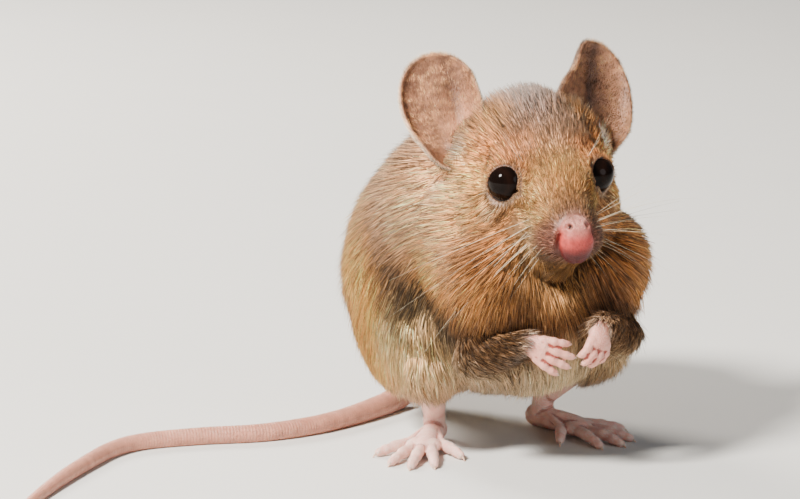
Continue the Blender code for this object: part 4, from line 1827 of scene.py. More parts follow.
# ---- eyes, claws and whiskers ----
@dataclass
class Eye:
    """One eyeball, its clear front bulging a little beyond the ball."""

    word: str
    bulge: float = 0.10

    def build(self) -> bpy.types.Object:
        """A ball whose radius grows by bulge times exp(-(angle from the gaze / 35 degrees)^2).

        Returns:
            The eyeball.
        """
        region = EyeRegion(SIDES[self.word])
        ball = stacked(ball_rings(46, 64))
        tilt = np.degrees(np.arccos(np.clip(unit(ball.points)[:, 2], -1, 1)))
        radius = EYE_RADIUS - 0.03 + self.bulge * hump(tilt, 35.0)
        gaze = region.gaze()
        side = unit(np.cross((0.0, 0.0, 1.0), gaze))
        spin = np.column_stack([side, np.cross(gaze, side), gaze])
        local = region.center() + (unit(ball.points) * radius[:, None]) @ spin.T
        iris = hump(tilt - 42.0, 10.0)
        tint = mixed(np.broadcast_to(linear("080505"), local.shape), linear("160b08"), iris)
        shape = Shape(put(HEAD, local), ball.faces)
        obj = piece(f"eyeball_{self.word}", shape, EyeFinish().build(), tint)
        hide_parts(f"eye_{self.word}")
        return obj


@dataclass
class Claws:
    """All the claws as one piece: each a curved, flattened horn that leaves the tip of its digit."""

    fore_length: float = 1.0
    hind_length: float = 1.35

    @staticmethod
    def claw(path: Array, at: Array, length: float, radius: float) -> Shape:
        """One claw: an arc that bends down by 62 degrees, thinning to a point as (1 - s)^0.7.

        Args:
            path: the digit's joints.
            at: its paw's frame.
            length: along the arc.
            radius: at the root.

        Returns:
            The closed claw.
        """
        along = unit(path[-1] - path[-2])
        down = unit(np.array([0.0, 0.0, -1.0]) + along[2] * along)
        s = np.linspace(0, 1, 9)
        bend = np.radians(62.0) * s
        step = np.cos(bend)[:, None] * along + np.sin(bend)[:, None] * down
        run = np.concatenate([[(0, 0, 0)], np.cumsum(step[:-1], axis=0)])
        line = path[-1] + along * 0.05 + run * length / 8
        width = radius * np.maximum(1 - s, 0.04) ** 0.7
        return swept(line, width, 10, tuple(np.cross(along, down)), 1.3).moved(at)

    def build(self) -> bpy.types.Object:
        """Claws on every digit.

        Returns:
            The piece.
        """
        made = []
        for word in SIDES:
            paw, foot = Forepaw(word), Hindfoot(word)
            made += [self.claw(path, paw.frame(), self.fore_length, 0.17) for path in paw.paths()]
            made += [self.claw(path, foot.frame(), self.hind_length, 0.20) for path in foot.paths()]
        shape = Shape.joined(made)
        shape = Shape(Skin.flattened(shape.points), shape.faces)
        tint = np.broadcast_to(linear("d8b8a0"), shape.points.shape)
        return piece("claws", shape, HornFinish().build(), tint)


@dataclass
class Whiskers:
    """The long stiff hairs of the pads, and a few over the eyes."""

    rows: int = 5
    per_row: int = 5
    longest: float = 26.0
    radius: float = 0.021
    brow_radius: float = 0.016
    brown_share: float = 0.3
    seed: int = 11

    @staticmethod
    def whisker(root: Array, direction: Array, droop: Array, length: float, radius: float) -> Shape:
        """One whisker: root + L (s d + s^2 droop), with a radius of r (1 - 0.82 s^1.2).

        Args:
            root: where it starts.
            direction: d, which way it starts.
            droop: how far its tip bends away, as shares of L.
            length: L.
            radius: r, at its root.

        Returns:
            Its shape.
        """
        s = np.linspace(0, 1, 13)[:, None]
        line = root + length * (s * direction + s**2 * droop)
        return swept(line, radius * (1.0 - 0.82 * s[:, 0] ** 1.2), 4, (0.13, 0.31, 0.94))

    def pad(self, side: int, rng: np.random.Generator) -> list[Shape]:
        """One pad's rows, longest at the back: the right ones sweep down the cheek, the left ones fan out.

        Args:
            side: 1 on the left, -1 on the right.
            rng: random numbers.

        Returns:
            The whiskers, in the head's frame.
        """
        made = []
        for row in range(self.rows):
            for k in range(self.per_row):
                back, high = k / (self.per_row - 1), row / (self.rows - 1)
                jitter = rng.normal(0, 1, 6)
                out = 2.7 + 2.1 * back - 0.5 * abs(high - 0.5)
                root = np.array([side * out, -9.0 + 3.8 * back, -6.4 + 3.2 * high])
                fan = -0.7 + 1.15 * high if side > 0 else -1.15 + 0.65 * high
                stray = jitter[3:] * (0.05, 0.10, 0.10)
                aside, ahead = side * (0.95 + stray[0]), -0.30 + 0.5 * back + stray[1]
                direction = np.array([aside, ahead, fan + stray[2]])
                droop = np.array([-side * 0.08, 0.12 + 0.12 * rng.random(), -0.08 - 0.20 * rng.random()])
                length = self.longest * (0.30 + 0.70 * back) * (0.7 + 0.3 * rng.random())
                length *= 0.72 + 0.28 * high
                thick = self.radius * (0.7 + 0.4 * back)
                made.append(self.whisker(root + jitter[:3] * 0.12, unit(direction), droop, length, thick))
        return made

    def build(self) -> bpy.types.Object:
        """Both pads' whiskers, and two over each eye.

        Returns:
            The piece.
        """
        rng = np.random.default_rng(self.seed)
        made = []
        for side in SIDES.values():
            made += self.pad(side, rng)
            for k in range(2):
                root = np.array([side * (4.6 + 0.3 * k), -1.0 + 0.5 * k, 3.5 - 0.1 * k])
                direction = unit(np.array([side * 0.5, -0.1 + 0.2 * k, 0.9]))
                droop = np.array([side * 0.1, 0.25, 0.0])
                made.append(self.whisker(root, direction, droop, 5.0 + k, self.brow_radius))
        pale, brown = linear("e6d6b8"), linear("4a3626")
        hues = [brown if rng.random() < self.brown_share else pale for _ in made]
        tints = [np.broadcast_to(hue, shape.points.shape) for hue, shape in zip(hues, made)]
        shape = Shape.joined(made)
        shape = Shape(put(HEAD, shape.points), shape.faces)
        shape.points[:, 2] = np.maximum(shape.points[:, 2], 0.1)
        finish = HairFinish("whisker_hair", 0.4).build()
        return piece("whiskers", shape, finish, np.concatenate(tints))


# ---- the coat ----
class Strand(Enum):
    """The shapes a hair can have."""

    SPIKE = "a three-sided spike, widest at its root"
    SPINDLE = "a three-sided spindle, widest before its middle and pointed at both ends"


@dataclass
class Layer:
    """One piece of the coat: which skin it grows on, how many hairs, and how they look."""

    name: str
    count: int
    strand: Strand
    width: float
    where: Callable[["Grown"], Array]
    length: float = 1.0  # times the zone's own
    reach: float = 1.0  # how much of the coat's depth it fills
    steep: float = 30.0  # the most degrees it stands up
    fill: bool = True  # lengthened where it wouldn't reach
    clump: float = 0.4
    clump_size: float = 1.2
    wild: float = 0.12
    seed: int = 1
    pale: float = 0.0
    dark: float = 1.0
    shade: float = 1.0
    loose: float = 0.6  # how far in millimetres it may stand out of the coat's surface


@dataclass
class Grown:
    """The skin, with what the layers ask about each of its points."""

    shape: Shape
    normals: Array
    masks: dict[Part, Array]
    head: Array  # the points in the head's frame
    lid: Array  # degrees outside the nearer eye's opening

    @staticmethod
    def on(skin: Skin) -> "Grown":
        """Surveys a skin.

        Args:
            skin: the finished skin.

        Returns:
            What the coat needs to know of it.
        """
        shape = skin.shape
        masks = {kind: shape.spread((skin.part == kind.value).astype(float), 3) for kind in Part}
        local = seen_from(HEAD, shape.points)
        return Grown(shape, shape.normals(), masks, local, past_lids(local))

    def furred(self) -> Array:
        """Where the body's own coat grows."""
        return self.masks[Part.BODY] ** 2


@dataclass
class Hairs:
    """Hairs about to be made, a row for each in every array."""

    root: Array
    normal: Array
    color: Array
    flow: Array
    length: Array
    lift: Array
    dark: Array
    on_body: Array
    masks: dict[Part, Array]

    def take(self, share: Array, flow: Array, length: Array | float, lift: Array | float,
             color: Array) -> None:
        """Turns the hairs by a share each into others.

        Args:
            share: how far each hair is turned.
            flow: the new lie.
            length: the new length.
            lift: degrees it stands up.
            color: the new colour.
        """
        self.flow = unit(mixed(self.flow, flow, share))
        self.length = self.length * (1 - share) + length * share
        self.lift = self.lift * (1 - share) + lift * share
        self.color = mixed(self.color, color, share)
        self.dark = self.dark * (1 - share)


def past_lids(local: Array) -> Array:
    """Degrees outside the nearer eye's opening, 90 away from the eyes, for points in the head's frame.

    Args:
        local: places in the head's frame.

    Returns:
        One angle for each.
    """
    found = np.full(len(local), 90.0)
    for side in SIDES.values():
        away, past = EyeRegion(side).measure(local)
        found = np.where(away < 5.5, np.minimum(found, past), found)
    return found


@dataclass
class Coat:
    """All the hairs, layer by layer."""

    skin: Skin
    coat_map: CoatMap
    hull: Field
    finish: bpy.types.Material | None = None

    def sow(self, layer: Layer, grown: Grown, rng: np.random.Generator) -> Hairs:
        """Chooses where a layer's hairs stand, by area and density, and reads the coat there.

        Args:
            layer: what to make.
            grown: the surveyed skin.
            rng: its own random numbers.

        Returns:
            The hairs.
        """
        shape, count = grown.shape, layer.count
        a, b, c = (shape.points[shape.faces[:, i]] for i in range(3))
        area = np.linalg.norm(np.cross(b - a, c - a), axis=1)
        chance = np.cumsum(area * layer.where(grown)[shape.faces].mean(axis=1))
        chosen = np.searchsorted(chance, rng.random(count) * chance[-1])
        u, v = rng.random((2, count))
        over = u + v > 1
        u, v = np.where(over, 1 - u, u), np.where(over, 1 - v, v)
        corner, share = shape.faces[chosen], np.stack([1 - u - v, u, v], axis=1)
        root = (shape.points[corner] * share[..., None]).sum(axis=1)
        normal = unit((grown.normals[corner] * share[..., None]).sum(axis=1))
        masks = {part: (values[corner] * share).sum(axis=1) for part, values in grown.masks.items()}
        _, flow, numbers = self.coat_map.read(root)
        color, _, _ = self.coat_map.read(root + flow * (0.5 * layer.length * numbers[:, :1]))
        on_body = np.clip(masks[Part.BODY] * 1.5 - 0.5, 0, 1)
        length, flat = numbers[:, 0] * layer.length, np.full(count, 14.0)
        return Hairs(root, normal, color, flow, length, flat, numbers[:, 1], on_body, masks)

    @staticmethod
    def round_eyes(hairs: Hairs) -> None:
        """Near an eye hairs are shorter and lie away from it, with a faint pale fringe round it.

        Args:
            hairs: the hairs.
        """
        local = seen_from(HEAD, hairs.root)
        lid = past_lids(local)
        side = np.where(local[:, 0] > 0, 1.0, -1.0)
        flip = np.column_stack([side, np.ones_like(side), np.ones_like(side)])
        from_eye = local - EYE_AT * flip
        away = unit(from_eye - LID_AXIS * flip * 1.2) @ HEAD[:3, :3].T
        near = 0.75 * (1 - smooth(6.0, 30.0, lid))
        hairs.flow = unit(mixed(hairs.flow, away, near))
        hairs.length = hairs.length * (0.42 + 0.58 * smooth(2.0, 20.0, lid))
        below = smooth(0.6, -1.4, from_eye[:, 2])
        fringe = (1 - smooth(5.0, 13.0, lid)) * (0.2 + 0.4 * below)
        hairs.color = mixed(hairs.color, linear("c8ac8a"), fringe)
        hairs.dark = hairs.dark * (1 - 0.7 * fringe)

    @staticmethod
    def on_ear(hairs: Hairs, ear: Ear, share: Array) -> None:
        """On an ear hairs are short and point to its rim, mottled in ripples inside, with painted shade along
        the fold and painted light shining through low in front, pale at the edge.

        Args:
            hairs: the hairs.
            ear: the ear.
            share: how far each hair is on it.
        """
        at = ear.frame()
        across, up, reach = ear.place(hairs.root)
        local = seen_from(at, hairs.root)
        inside = smooth(-0.1, 0.3, hairs.normal @ at[:3, 2])
        outward = np.column_stack([local[:, 0] * 0.9, local[:, 1] + 5.0, np.full(len(local), 0.5)])
        outward = unit(outward) @ at[:3, :3].T
        rim = smooth(0.97, 1.01, reach) * (1.0 if ear.word == "right" else smooth(0.5, 0.1, across))
        ripple = noise(np.column_stack([local[:, 0] / 1.7, local[:, 1] / 0.42, local[:, 2]]), 1.0, 41)
        light = smooth(-0.10, 0.30, ripple)
        hue = mixed(np.broadcast_to(linear("5a3a28"), local.shape), linear("c08c60"), light)
        # painted shade: darker hairs along the fold, more on the left ear
        fold = ear.crease(across, up) * (0.8 if ear.word == "left" else 0.3)
        hue = mixed(hue, linear("543828"), fold)
        # painted light: peach hairs where light shines through the thin ear
        hue = mixed(hue, linear("eab088"), 0.85 * ear.glow(across, up) * ear.lit)
        hue = mixed(np.broadcast_to(linear("6e503c"), hue.shape), hue, inside)
        hue = mixed(hue, linear("cdb094"), rim)
        hairs.take(share, outward, 0.70 + 0.4 * (1 - inside) - 0.2 * rim, 14 + 8 * rim, hue)

    @staticmethod
    def on_limbs(hairs: Hairs) -> None:
        """On the tail, feet, paws and nose hairs are very short and lie along them.

        Args:
            hairs: the hairs.
        """
        knots, _ = Tail().path()
        steps = np.concatenate([[0], np.cumsum(np.linalg.norm(np.diff(knots, axis=0), axis=1))])
        _, along = line_distance(hairs.root, knots)
        slope = np.gradient(knots, axis=0)
        down_tail = np.stack([np.interp(along, steps, slope[:, axis]) for axis in range(3)], axis=1)
        right = hairs.root[:, :1] < 0
        toes = np.where(right, (*HINDFEET["right"][1], 0.0), (*HINDFEET["left"][1], 0.0))
        right = hairs.root[:, :1] + 0.35 * hairs.root[:, 1:2] < -5.0
        hands = np.where(right, FOREPAWS["right"][1], FOREPAWS["left"][1])
        bare_parts = (
            (Part.TAIL, down_tail, 0.7, "a87e66"), (Part.FOOT, toes, 0.7, "f2e4d8"),
            (Part.PAW, hands, 0.45, "f0ddcf"), (Part.NOSE, (0.0, 0.5, 0.8), 0.5, "c08a7c"),
        )
        for part, way, length, hue in bare_parts:
            hairs.take(hairs.masks[part], unit(way), length, 12.0, linear(hue))

    def grow(self, layer: Layer, grown: Grown) -> bpy.types.Object:
        """Makes one layer as a piece of its own.

        Args:
            layer: what to make.
            grown: the surveyed skin.

        Returns:
            The coat piece.
        """
        rng = np.random.default_rng(layer.seed)
        hairs = self.sow(layer, grown, rng)
        self.round_eyes(hairs)
        for word, part in EARS.items():
            self.on_ear(hairs, Ear(word), hairs.masks[part])
        self.on_limbs(hairs)
        start, middle, tip = self.combed(layer, rng, hairs)
        middle, tip, shade = self.clumped(layer, rng, hairs, middle, tip)
        hairs.color = hairs.color * (layer.shade * shade)[:, None]
        return self.strands(layer, rng, hairs, start, middle, tip)

    def combed(self, layer: Layer, rng: np.random.Generator, hairs: Hairs) -> tuple[Array, Array, Array]:
        """Lays the hairs down so that they fill the coat's depth and stop at its surface.

        A hair runs along root + L (s d0 + s^2 (d1 - d0) / 2), from a start at an angle a to an end at 0.35 a,
        so its tip stands 0.67 L sin a over the skin; a is chosen so that this is the coat's depth there.

        Args:
            layer: the layer.
            rng: its own random numbers.
            hairs: the hairs; their lengths are set.

        Returns:
            The directions they start in, their middles and their tips.
        """
        count = len(hairs.root)
        swirl = np.stack([noise(hairs.root, 2.6, 20 + axis) for axis in range(3)], axis=1)
        flow = hairs.flow + 0.26 * swirl + rng.normal(0, layer.wild, (count, 3))
        lie = unit(flow - dot(flow, hairs.normal)[:, None] * hairs.normal)
        length = hairs.length * (0.75 + 0.5 * rng.random(count)) * (1 + 0.16 * noise(hairs.root, 1.8, 31))
        depth = np.maximum(-self.hull.read(hairs.root), 0.0)
        wanted = depth * layer.reach * (0.78 + 0.30 * rng.random(count))
        most = math.sin(math.radians(layer.steep))
        if layer.fill:
            full = np.maximum(length, np.minimum(wanted / (0.67 * most), length * 1.6))
            length = length * (1 - hairs.on_body) + full * hairs.on_body
        laid = np.arcsin(np.clip(wanted / (0.67 * length), 0.10, most))
        free = np.radians(hairs.lift) * (0.75 + 0.5 * rng.random(count))
        angle = laid * hairs.on_body + free * (1 - hairs.on_body)
        start = lie * np.cos(angle)[:, None] + hairs.normal * np.sin(angle)[:, None]
        end = lie * np.cos(0.35 * angle)[:, None] + hairs.normal * np.sin(0.35 * angle)[:, None]
        hairs.length = length
        bulge = 0.42 if layer.strand is Strand.SPINDLE else 0.5
        run = length[:, None]
        middle, tip = (hairs.root + run * (s * start + 0.5 * s * s * (end - start)) for s in (bulge, 1.0))
        return start, middle, tip

    def clumped(self, layer: Layer, rng: np.random.Generator, hairs: Hairs, middle: Array,
                tip: Array) -> tuple[Array, Array, Array]:
        """Draws neighbours' tips together, then keeps the hairs under the coat's surface and off the eyes.

        Neighbours are the hairs whose roots share a cell of a grid bent by noise; each tip goes part of the
        way to the middle of its cell's tips.

        Args:
            layer: the layer.
            rng: its own random numbers.
            hairs: the hairs.
            middle: their middles.
            tip: their tips.

        Returns:
            The middles, the tips, and a brightness for each hair that its whole cell shares.
        """
        bend = np.stack([noise(hairs.root, 1.7, 50 + axis) for axis in range(3)], axis=1)
        cell = np.floor((hairs.root + 0.6 * bend) / layer.clump_size).astype(np.int64)
        key = (cell[:, 0] + 500) * 1_000_000 + (cell[:, 1] + 500) * 1000 + cell[:, 2] + 500
        _, owner, count = np.unique(key, return_inverse=True, return_counts=True)
        center = np.stack([np.bincount(owner, tip[:, axis]) / count for axis in range(3)], axis=1)[owner]
        drawn = center - tip
        far = np.linalg.norm(drawn, axis=1, keepdims=True)
        limit = np.minimum(1.0, 0.4 * hairs.length[:, None] / np.maximum(far, 1e-6))
        drawn = drawn * limit * layer.clump * (0.5 + rng.random(len(tip)))[:, None]
        loose = 0.10 + layer.loose * rng.random(len(tip)) ** 2
        middle = self.kept_in(middle + 0.3 * drawn, hairs.on_body, 0.0)
        tip = self.kept_in(tip + drawn, hairs.on_body, loose)
        shade = 1 + 0.36 * (lattice(cell, 7) - 0.5) + 0.16 * noise(hairs.root, 2.0, 61)
        return middle, tip, shade + 0.10 * noise(hairs.root, 0.8, 62)

    def kept_in(self, points: Array, share: Array, loose: Array | float) -> Array:
        """Points pressed back to the coat's surface, where they may stand out a little, and off the eyes.

        Args:
            points: middles or tips.
            share: each hair's share on the body.
            loose: millimetres it may stand out.

        Returns:
            The points moved.
        """
        over = np.clip(self.hull.read(points) - loose, 0.0, 4.0) * share
        points = points - self.hull.outward(points) * over[:, None]
        local = seen_from(HEAD, points)
        for side in SIDES.values():
            center = mirrored(EYE_AT, side)
            out = local - center
            away = np.linalg.norm(out, axis=1, keepdims=True)
            local = center + out * np.maximum(1.0, (EYE_RADIUS + 0.16) / np.maximum(away, 1e-6))
        return put(HEAD, local)

    def strands(self, layer: Layer, rng: np.random.Generator, hairs: Hairs, start: Array, middle: Array,
                tip: Array) -> bpy.types.Object:
        """Turns hairs into closed three-sided shapes.

        Args:
            layer: the layer.
            rng: its own random numbers.
            hairs: the hairs.
            start: the directions they start in.
            middle: their middles.
            tip: their tips.

        Returns:
            The coat piece.
        """
        count = len(hairs.root)
        normal = hairs.normal
        half = 0.5 * layer.width * (0.7 + 0.6 * rng.random(count))
        half = (half * np.clip(hairs.length / 2.6, 0.5, 1.15))[:, None]
        sunk = hairs.root - normal * 0.10
        if layer.strand is Strand.SPINDLE:
            side = unit(np.cross(normal, tip - hairs.root)) * half
            three = np.stack([middle - side, middle + side, middle + 0.8 * half * normal], axis=1)
            points = np.concatenate([sunk[:, None], three, tip[:, None]], axis=1)
            faces = np.array([(0, 2, 1), (0, 3, 2), (0, 1, 3), (4, 1, 2), (4, 2, 3), (4, 3, 1)])
            steps, across = np.array([0, 1, 1, 1, 2]), np.array([0.0, -0.0013, 0.0013, 0.0, 0.0])
            up = np.array([0.0, 0.0011, 0.0011, 0.0018, 0.0028])
        else:
            side = unit(np.cross(normal, start)) * half
            points = np.stack([sunk - side, sunk + side, sunk + 0.8 * half * normal, tip], axis=1)
            faces = np.array([(0, 2, 1), (0, 1, 3), (1, 2, 3), (2, 0, 3)])
            steps, across = np.array([0, 0, 0, 2]), np.array([-0.0013, 0.0013, 0.0, 0.0])
            up = np.array([0.0, 0.0, 0.0008, 0.0028])
        tint = self.hair_colors(rng, hairs, layer)[:, steps]
        per = points.shape[1]
        faces = (faces[None] + np.arange(count)[:, None, None] * per).reshape(-1, 3)
        flat = Shape(points.reshape(-1, 3), faces)
        flat.points[:, 2] = np.maximum(flat.points[:, 2], 0.02)
        if self.finish is None:
            self.finish = HairFinish().build()
        obj = piece(layer.name, flat, self.finish, tint.reshape(-1, 3))
        self.lay_map(obj, hairs, across, up)
        return obj

    @staticmethod
    def hair_colors(rng: np.random.Generator, hairs: Hairs, layer: Layer) -> Array:
        """Each hair's colour at its root, middle and tip.

        The root is slate, the middle the coat's own colour and the tip a little lighter; a share of the
        hairs is dark from the middle on, and a few are pale.

        Args:
            rng: random numbers.
            hairs: the hairs.
            layer: the layer.

        Returns:
            An array of hairs x 3 stations x 3.
        """
        count = len(hairs.color)
        bright = np.exp(rng.normal(0, 0.32, count))[:, None]
        warm = 1 + rng.normal(0, 0.06, count)[:, None] * np.array([1.0, 0.1, -1.2])
        body = hairs.color * bright * warm
        root = np.where(hairs.on_body[:, None] > 0.5, body * 0.30 + linear("3a3230") * 0.10, body * 0.7)
        tip = body * 1.15 + 0.006
        picked = rng.random(count)
        black = (picked < hairs.dark * layer.dark)[:, None]
        body = np.where(black, body * 0.30, body)
        tip = np.where(black, tip * 0.16, tip)
        white = (picked > 1 - layer.pale)[:, None]
        body = np.where(white, body * 1.25 + 0.01, body)
        tip = np.where(white, body * 1.5 + 0.05, tip)
        return np.clip(np.stack([root, body, tip], axis=1), 0.002, 0.95)

    @staticmethod
    def lay_map(obj: bpy.types.Object, hairs: Hairs, across: Array, up: Array) -> None:
        """Gives each hair its own small patch of a map, at its root's place on an unwrap of the skin.

        The skin is unwrapped like a box: each root goes to the sheet of the axis its normal lies nearest,
        six sheets in three columns and two rows. Along and across the hair the patch is 0.003 wide.

        Args:
            obj: the coat piece.
            hairs: its hairs.
            across: each point's place along u.
            up: and along v.
        """
        root, normal = hairs.root, hairs.normal
        axis = np.abs(normal).argmax(axis=1)
        rows = np.arange(len(root))
        behind = normal[rows, axis] < 0
        low, high = root.min(axis=0), root.max(axis=0)
        span = (high - low).max() + 1e-6
        first, second = (axis + 1) % 3, (axis + 2) % 3
        u = (axis + 0.02 + 0.95 * (root[rows, first] - low[first]) / span) / 3.0
        v = (behind + 0.02 + 0.95 * (root[rows, second] - low[second]) / span) / 2.0
        uv = np.stack([u[:, None] + across[None], v[:, None] + up[None]], axis=-1).reshape(-1, 2)
        mesh = obj.data
        loops = np.empty(len(mesh.loops), np.int32)
        mesh.loops.foreach_get("vertex_index", loops)
        layer = mesh.uv_layers.new(name="OFBake")
        layer.data.foreach_set("uv", uv[loops].astype(np.float32).ravel())


def from_muzzle(g: Grown, y: float) -> Array:
    """Distances from a place on the head's midline, in the head's frame."""
    return np.linalg.norm(g.head - (0, y, -2.3), axis=1)


def on_face(g: Grown) -> Array:
    """Muzzle, forehead, brows and cheeks, denser towards the nose, and none on the eyes' rims.

    Args:
        g: the skin.

    Returns:
        A density for each of its points.
    """
    away = from_muzzle(g, -5.0)
    nose = 1.3 * g.masks[Part.NOSE] * smooth(-2.6, -0.4, g.head[:, 2])
    fur = g.furred() * smooth(15.0, 9.0, away) * (1 + 1.6 * smooth(9.0, 4.0, away)) * smooth(2.2, 3.6, g.lid)
    return fur + nose


def on_head(g: Grown) -> Array:
    """The whole head, thinning at the front of the muzzle.

    Args:
        g: the skin.

    Returns:
        A density for each of its points.
    """
    front = smooth(-9.5, -5.0, g.head[:, 1])
    fur = g.furred() * smooth(18.0, 14.0, from_muzzle(g, 4.0)) * (0.35 + 0.65 * front)
    return fur * smooth(3.0, 7.0, g.lid)


def on_tufts(g: Grown) -> Array:
    """The fur that stands up before the ears, between them and at their notches.

    Args:
        g: the skin.

    Returns:
        A density for each of its points.
    """
    places = [(0, 7.0, 8.4), (3.5, 7.5, 8.2), (6.4, 8.0, 6.6), (8.2, 8.6, 4.4), (9.8, 7.4, 1.8)]
    total = np.zeros(len(g.head))
    for x, y, z in places:
        for side in SIDES.values():
            total += hump(np.linalg.norm(g.head - (side * x, y, z), axis=1), 1.9)
    return g.furred() * total


def on_trunk(g: Grown) -> Array:
    """Neck, trunk and legs, thinning out towards the face."""
    legs = smooth(3.0, 6.0, g.shape.points[:, 2])
    return g.furred() * smooth(9.0, 17.0, from_muzzle(g, 0.0)) * (0.5 + 0.5 * legs)


def on_ears(g: Grown) -> Array:
    """Both ears, densest along the rim and behind, and thin in the hollow low in front.

    Args:
        g: the skin.

    Returns:
        A density for each of its points.
    """
    total = np.zeros(len(g.head))
    for word, part in EARS.items():
        ear = Ear(word)
        across, up, reach = ear.place(g.shape.points)
        inside = smooth(-0.1, 0.3, g.normals @ ear.frame()[:3, 2])
        hollow = 1 - 0.65 * ear.glow(across, up)
        fur = (1 - inside) * 0.9 + inside * hollow * 1.2 + 0.8 * smooth(0.88, 0.98, reach)
        total += g.masks[part] * fur
    return total


def on_limbs(g: Grown) -> Array:
    """Paws, feet and tail, but hardly their undersides."""
    under = smooth(0.2, -0.4, g.normals[:, 2])
    return (g.masks[Part.FOOT] * 1.2 + g.masks[Part.PAW] * 0.9 + g.masks[Part.TAIL]) * (1 - 0.8 * under)


def layers() -> list[Layer]:
    """Every layer of the coat, from the under fur out to the guard hairs.

    Returns:
        The layers.
    """
    spike, spindle = Strand.SPIKE, Strand.SPINDLE
    return [
        Layer("coat_face_fine", 48000, spike, 0.15, on_face, steep=26.0, fill=False,
              clump=0.55, clump_size=0.55, wild=0.10, seed=1, pale=0.05, dark=1.4),
        Layer("coat_head", 33000, spindle, 0.13, on_head, length=1.05, steep=28.0,
              clump=0.65, clump_size=0.75, wild=0.10, seed=2, pale=0.12, dark=1.6),
        Layer("coat_under", 48000, spike, 0.30, on_trunk, length=0.62, reach=0.62, fill=False,
              clump=0.35, clump_size=1.4, wild=0.14, seed=3, dark=0.7, shade=0.75),
        Layer("coat_body_a", 33000, spindle, 0.16, on_trunk, length=0.90, reach=0.86, steep=32.0,
              clump=0.6, clump_size=1.1, seed=4, pale=0.04, dark=0.9),
        Layer("coat_body_b", 33000, spindle, 0.15, on_trunk, length=0.95, reach=0.95, steep=32.0,
              clump=0.6, clump_size=1.4, seed=5, pale=0.06),
        Layer("coat_body_c", 33000, spindle, 0.14, on_trunk, length=0.9, reach=1.02, steep=34.0,
              clump=0.6, clump_size=0.9, wild=0.14, seed=6, pale=0.12, dark=1.2, loose=1.0),
        Layer("coat_guard", 14000, spindle, 0.09, on_trunk, length=1.1, reach=1.10, steep=38.0,
              clump=0.15, clump_size=1.0, wild=0.18, seed=7, pale=0.2, dark=1.8, loose=1.6),
        Layer("coat_tufts", 9000, spindle, 0.11, on_tufts, length=1.2, reach=1.60, steep=52.0,
              clump=0.5, clump_size=0.8, wild=0.16, seed=10, pale=0.1, loose=2.2),
        Layer("coat_ears", 30000, spike, 0.13, on_ears, fill=False, clump=0.1, clump_size=0.6,
              wild=0.14, seed=8, pale=0.1),
        Layer("coat_limbs", 20000, spike, 0.09, on_limbs, fill=False, clump=0.0, clump_size=0.6,
              wild=0.10, seed=9, pale=0.1),
    ]


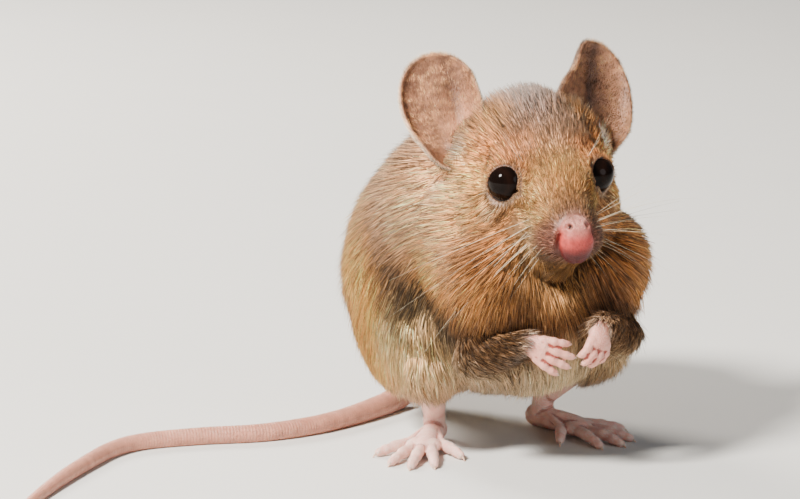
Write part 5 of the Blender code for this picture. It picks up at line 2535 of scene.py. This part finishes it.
# ---- the studio ----
@dataclass
class Studio:
    """A pale floor that rises behind, soft lamps, and the camera."""

    azimuth: float = -28.0
    elevation: float = 12.0
    distance: float = 560.0
    view_width: float = 106.67  # millimetres across the picture at its middle
    middle: tuple = (-18.67, 29.4, 8.2)  # the picture's: right of, above and before the feet
    floor_color: str = "d9d8d4"
    bend_at: float = 2500.0  # how far behind the mouse the floor starts to rise
    bend_radius: float = 900.0
    sweep: float = 4200.0  # how far the floor goes to either side

    def axes(self) -> tuple[Array, Array, Array]:
        """Directions to the camera, to the picture's right and to its top.

        Returns:
            The three directions.
        """
        a, e = math.radians(self.azimuth), math.radians(self.elevation)
        back = np.array([math.sin(a) * math.cos(e), -math.cos(a) * math.cos(e), math.sin(e)])
        right = np.array([math.cos(a), math.sin(a), 0.0])
        return back, right, np.cross(back, right)

    def camera(self) -> None:
        """The camera: level, looking at a point left of and above the feet, through a long lens."""
        back, right, up = self.axes()
        target = np.array([-3.0, 0.0, 0.0])
        for way, length in zip((right, up, back), self.middle):
            target = target + way * length
        data = bpy.data.cameras.new("camera")
        data.sensor_width = 36.0
        data.lens = 36.0 * self.distance / self.view_width
        data.clip_start = 0.01
        obj = bpy.data.objects.new("camera", data)
        place = (target + back * self.distance + OFFSET) * 0.001
        spin = Matrix(np.column_stack([right, up, back]).tolist()).to_4x4()
        obj.matrix_world = Matrix.Translation(Vector(place)) @ spin
        bpy.context.scene.collection.objects.link(obj)
        bpy.context.scene.camera = obj

    def lamp(self, name: str, place: Numbers, size: float, power: float,
             color: Numbers) -> None:
        """A round lamp aimed at the mouse's chest.

        Args:
            name: the lamp's name.
            place: millimetres to the picture's right, up, and towards the camera, from the chest.
            size: its width in millimetres.
            power: watts.
            color: linear colour.
        """
        back, right, up = self.axes()
        data = bpy.data.lights.new(name, "AREA")
        data.shape = "DISK"
        data.size, data.energy, data.color = size * 0.001, power, color
        obj = bpy.data.objects.new(name, data)
        aim = (np.array([0.0, 5.0, 25.0]) + OFFSET) * 0.001
        level = unit(back * (1, 1, 0))
        spot = aim + (right * place[0] + np.array([0, 0, 1.0]) * place[1] + level * place[2]) * 0.001
        obj.location = Vector(spot)
        obj.rotation_mode = "QUATERNION"
        obj.rotation_quaternion = Vector(spot - aim).to_track_quat("Z", "Y")
        bpy.context.scene.collection.objects.link(obj)

    def floor(self) -> None:
        """A sheet that lies flat and curves up behind: level up to a line, a quarter circle, then a wall."""
        back, right, _ = self.axes()
        level = unit(back * (1, 1, 0))
        bend, radius, reach = self.bend_at, self.bend_radius, 4.0 * self.bend_radius
        arc = np.linspace(0, math.pi / 2, 24)
        run = np.concatenate([[-reach], bend + radius * np.sin(arc), [bend + radius]])
        rise = np.concatenate([[0.0], radius * (1 - np.cos(arc)), [reach]])
        across = np.linspace(-self.sweep, self.sweep, 9)
        grid = across[None, :, None] * right - run[:, None, None] * level
        grid = grid + rise[:, None, None] * np.array([0, 0, 1.0])
        points = (grid.reshape(-1, 3) + OFFSET * (1, 1, 0)) * 0.001
        rows, columns = len(run), len(across)
        i = (np.arange(rows - 1)[:, None] * columns + np.arange(columns - 1)).ravel()
        quads = np.stack([i, i + columns, i + columns + 1, i + 1], axis=1)
        mesh = bpy.data.meshes.new("floor")
        mesh.from_pydata(points.tolist(), [], quads.tolist())
        mesh.shade_smooth()
        obj = bpy.data.objects.new("floor", mesh)
        f = Finish("studio_floor")
        base = linear(self.floor_color)
        grain = f.cloud(0.02, 3.0)
        tone = f.blend(grain, (*(base * 0.97), 1.0), (*base, 1.0))
        mesh.materials.append(f.set(Base_Color=tone, Roughness=0.85).material)
        bpy.context.scene.collection.objects.link(obj)

    def build(self) -> None:
        """Floor, lamps, sky and camera."""
        self.floor()
        self.camera()
        self.lamp("key", (-330, 420, 300), 130, 13.0, (1.0, 0.95, 0.88))
        self.lamp("rim", (-300, 260, -380), 200, 5.0, (1.0, 0.93, 0.85))
        self.lamp("fill", (420, 160, 300), 300, 0.8, (0.92, 0.95, 1.0))
        world = bpy.data.worlds.new("studio_air")
        world.use_nodes = True
        world.node_tree.nodes["Background"].inputs["Color"].default_value = (0.80, 0.88, 1.0, 1.0)
        world.node_tree.nodes["Background"].inputs["Strength"].default_value = 0.15
        bpy.context.scene.world = world


def main() -> None:
    """Builds the mouse and its studio."""
    logging.basicConfig(level=logging.INFO, format="%(message)s")
    hull = hull_of_solids()
    LOG.info("hull measured")
    coat_map = CoatMap()
    skin = Skin(coat_map, hull)
    skin.build()
    skin.dress()
    for word in SIDES:
        Eye(word).build()
    Claws().build()
    Whiskers().build()
    coat = Coat(skin, coat_map, hull)
    grown = Grown.on(skin)
    for layer in layers():
        coat.grow(layer, grown)
    Studio().build()


if __name__ == "__main__":
    main()
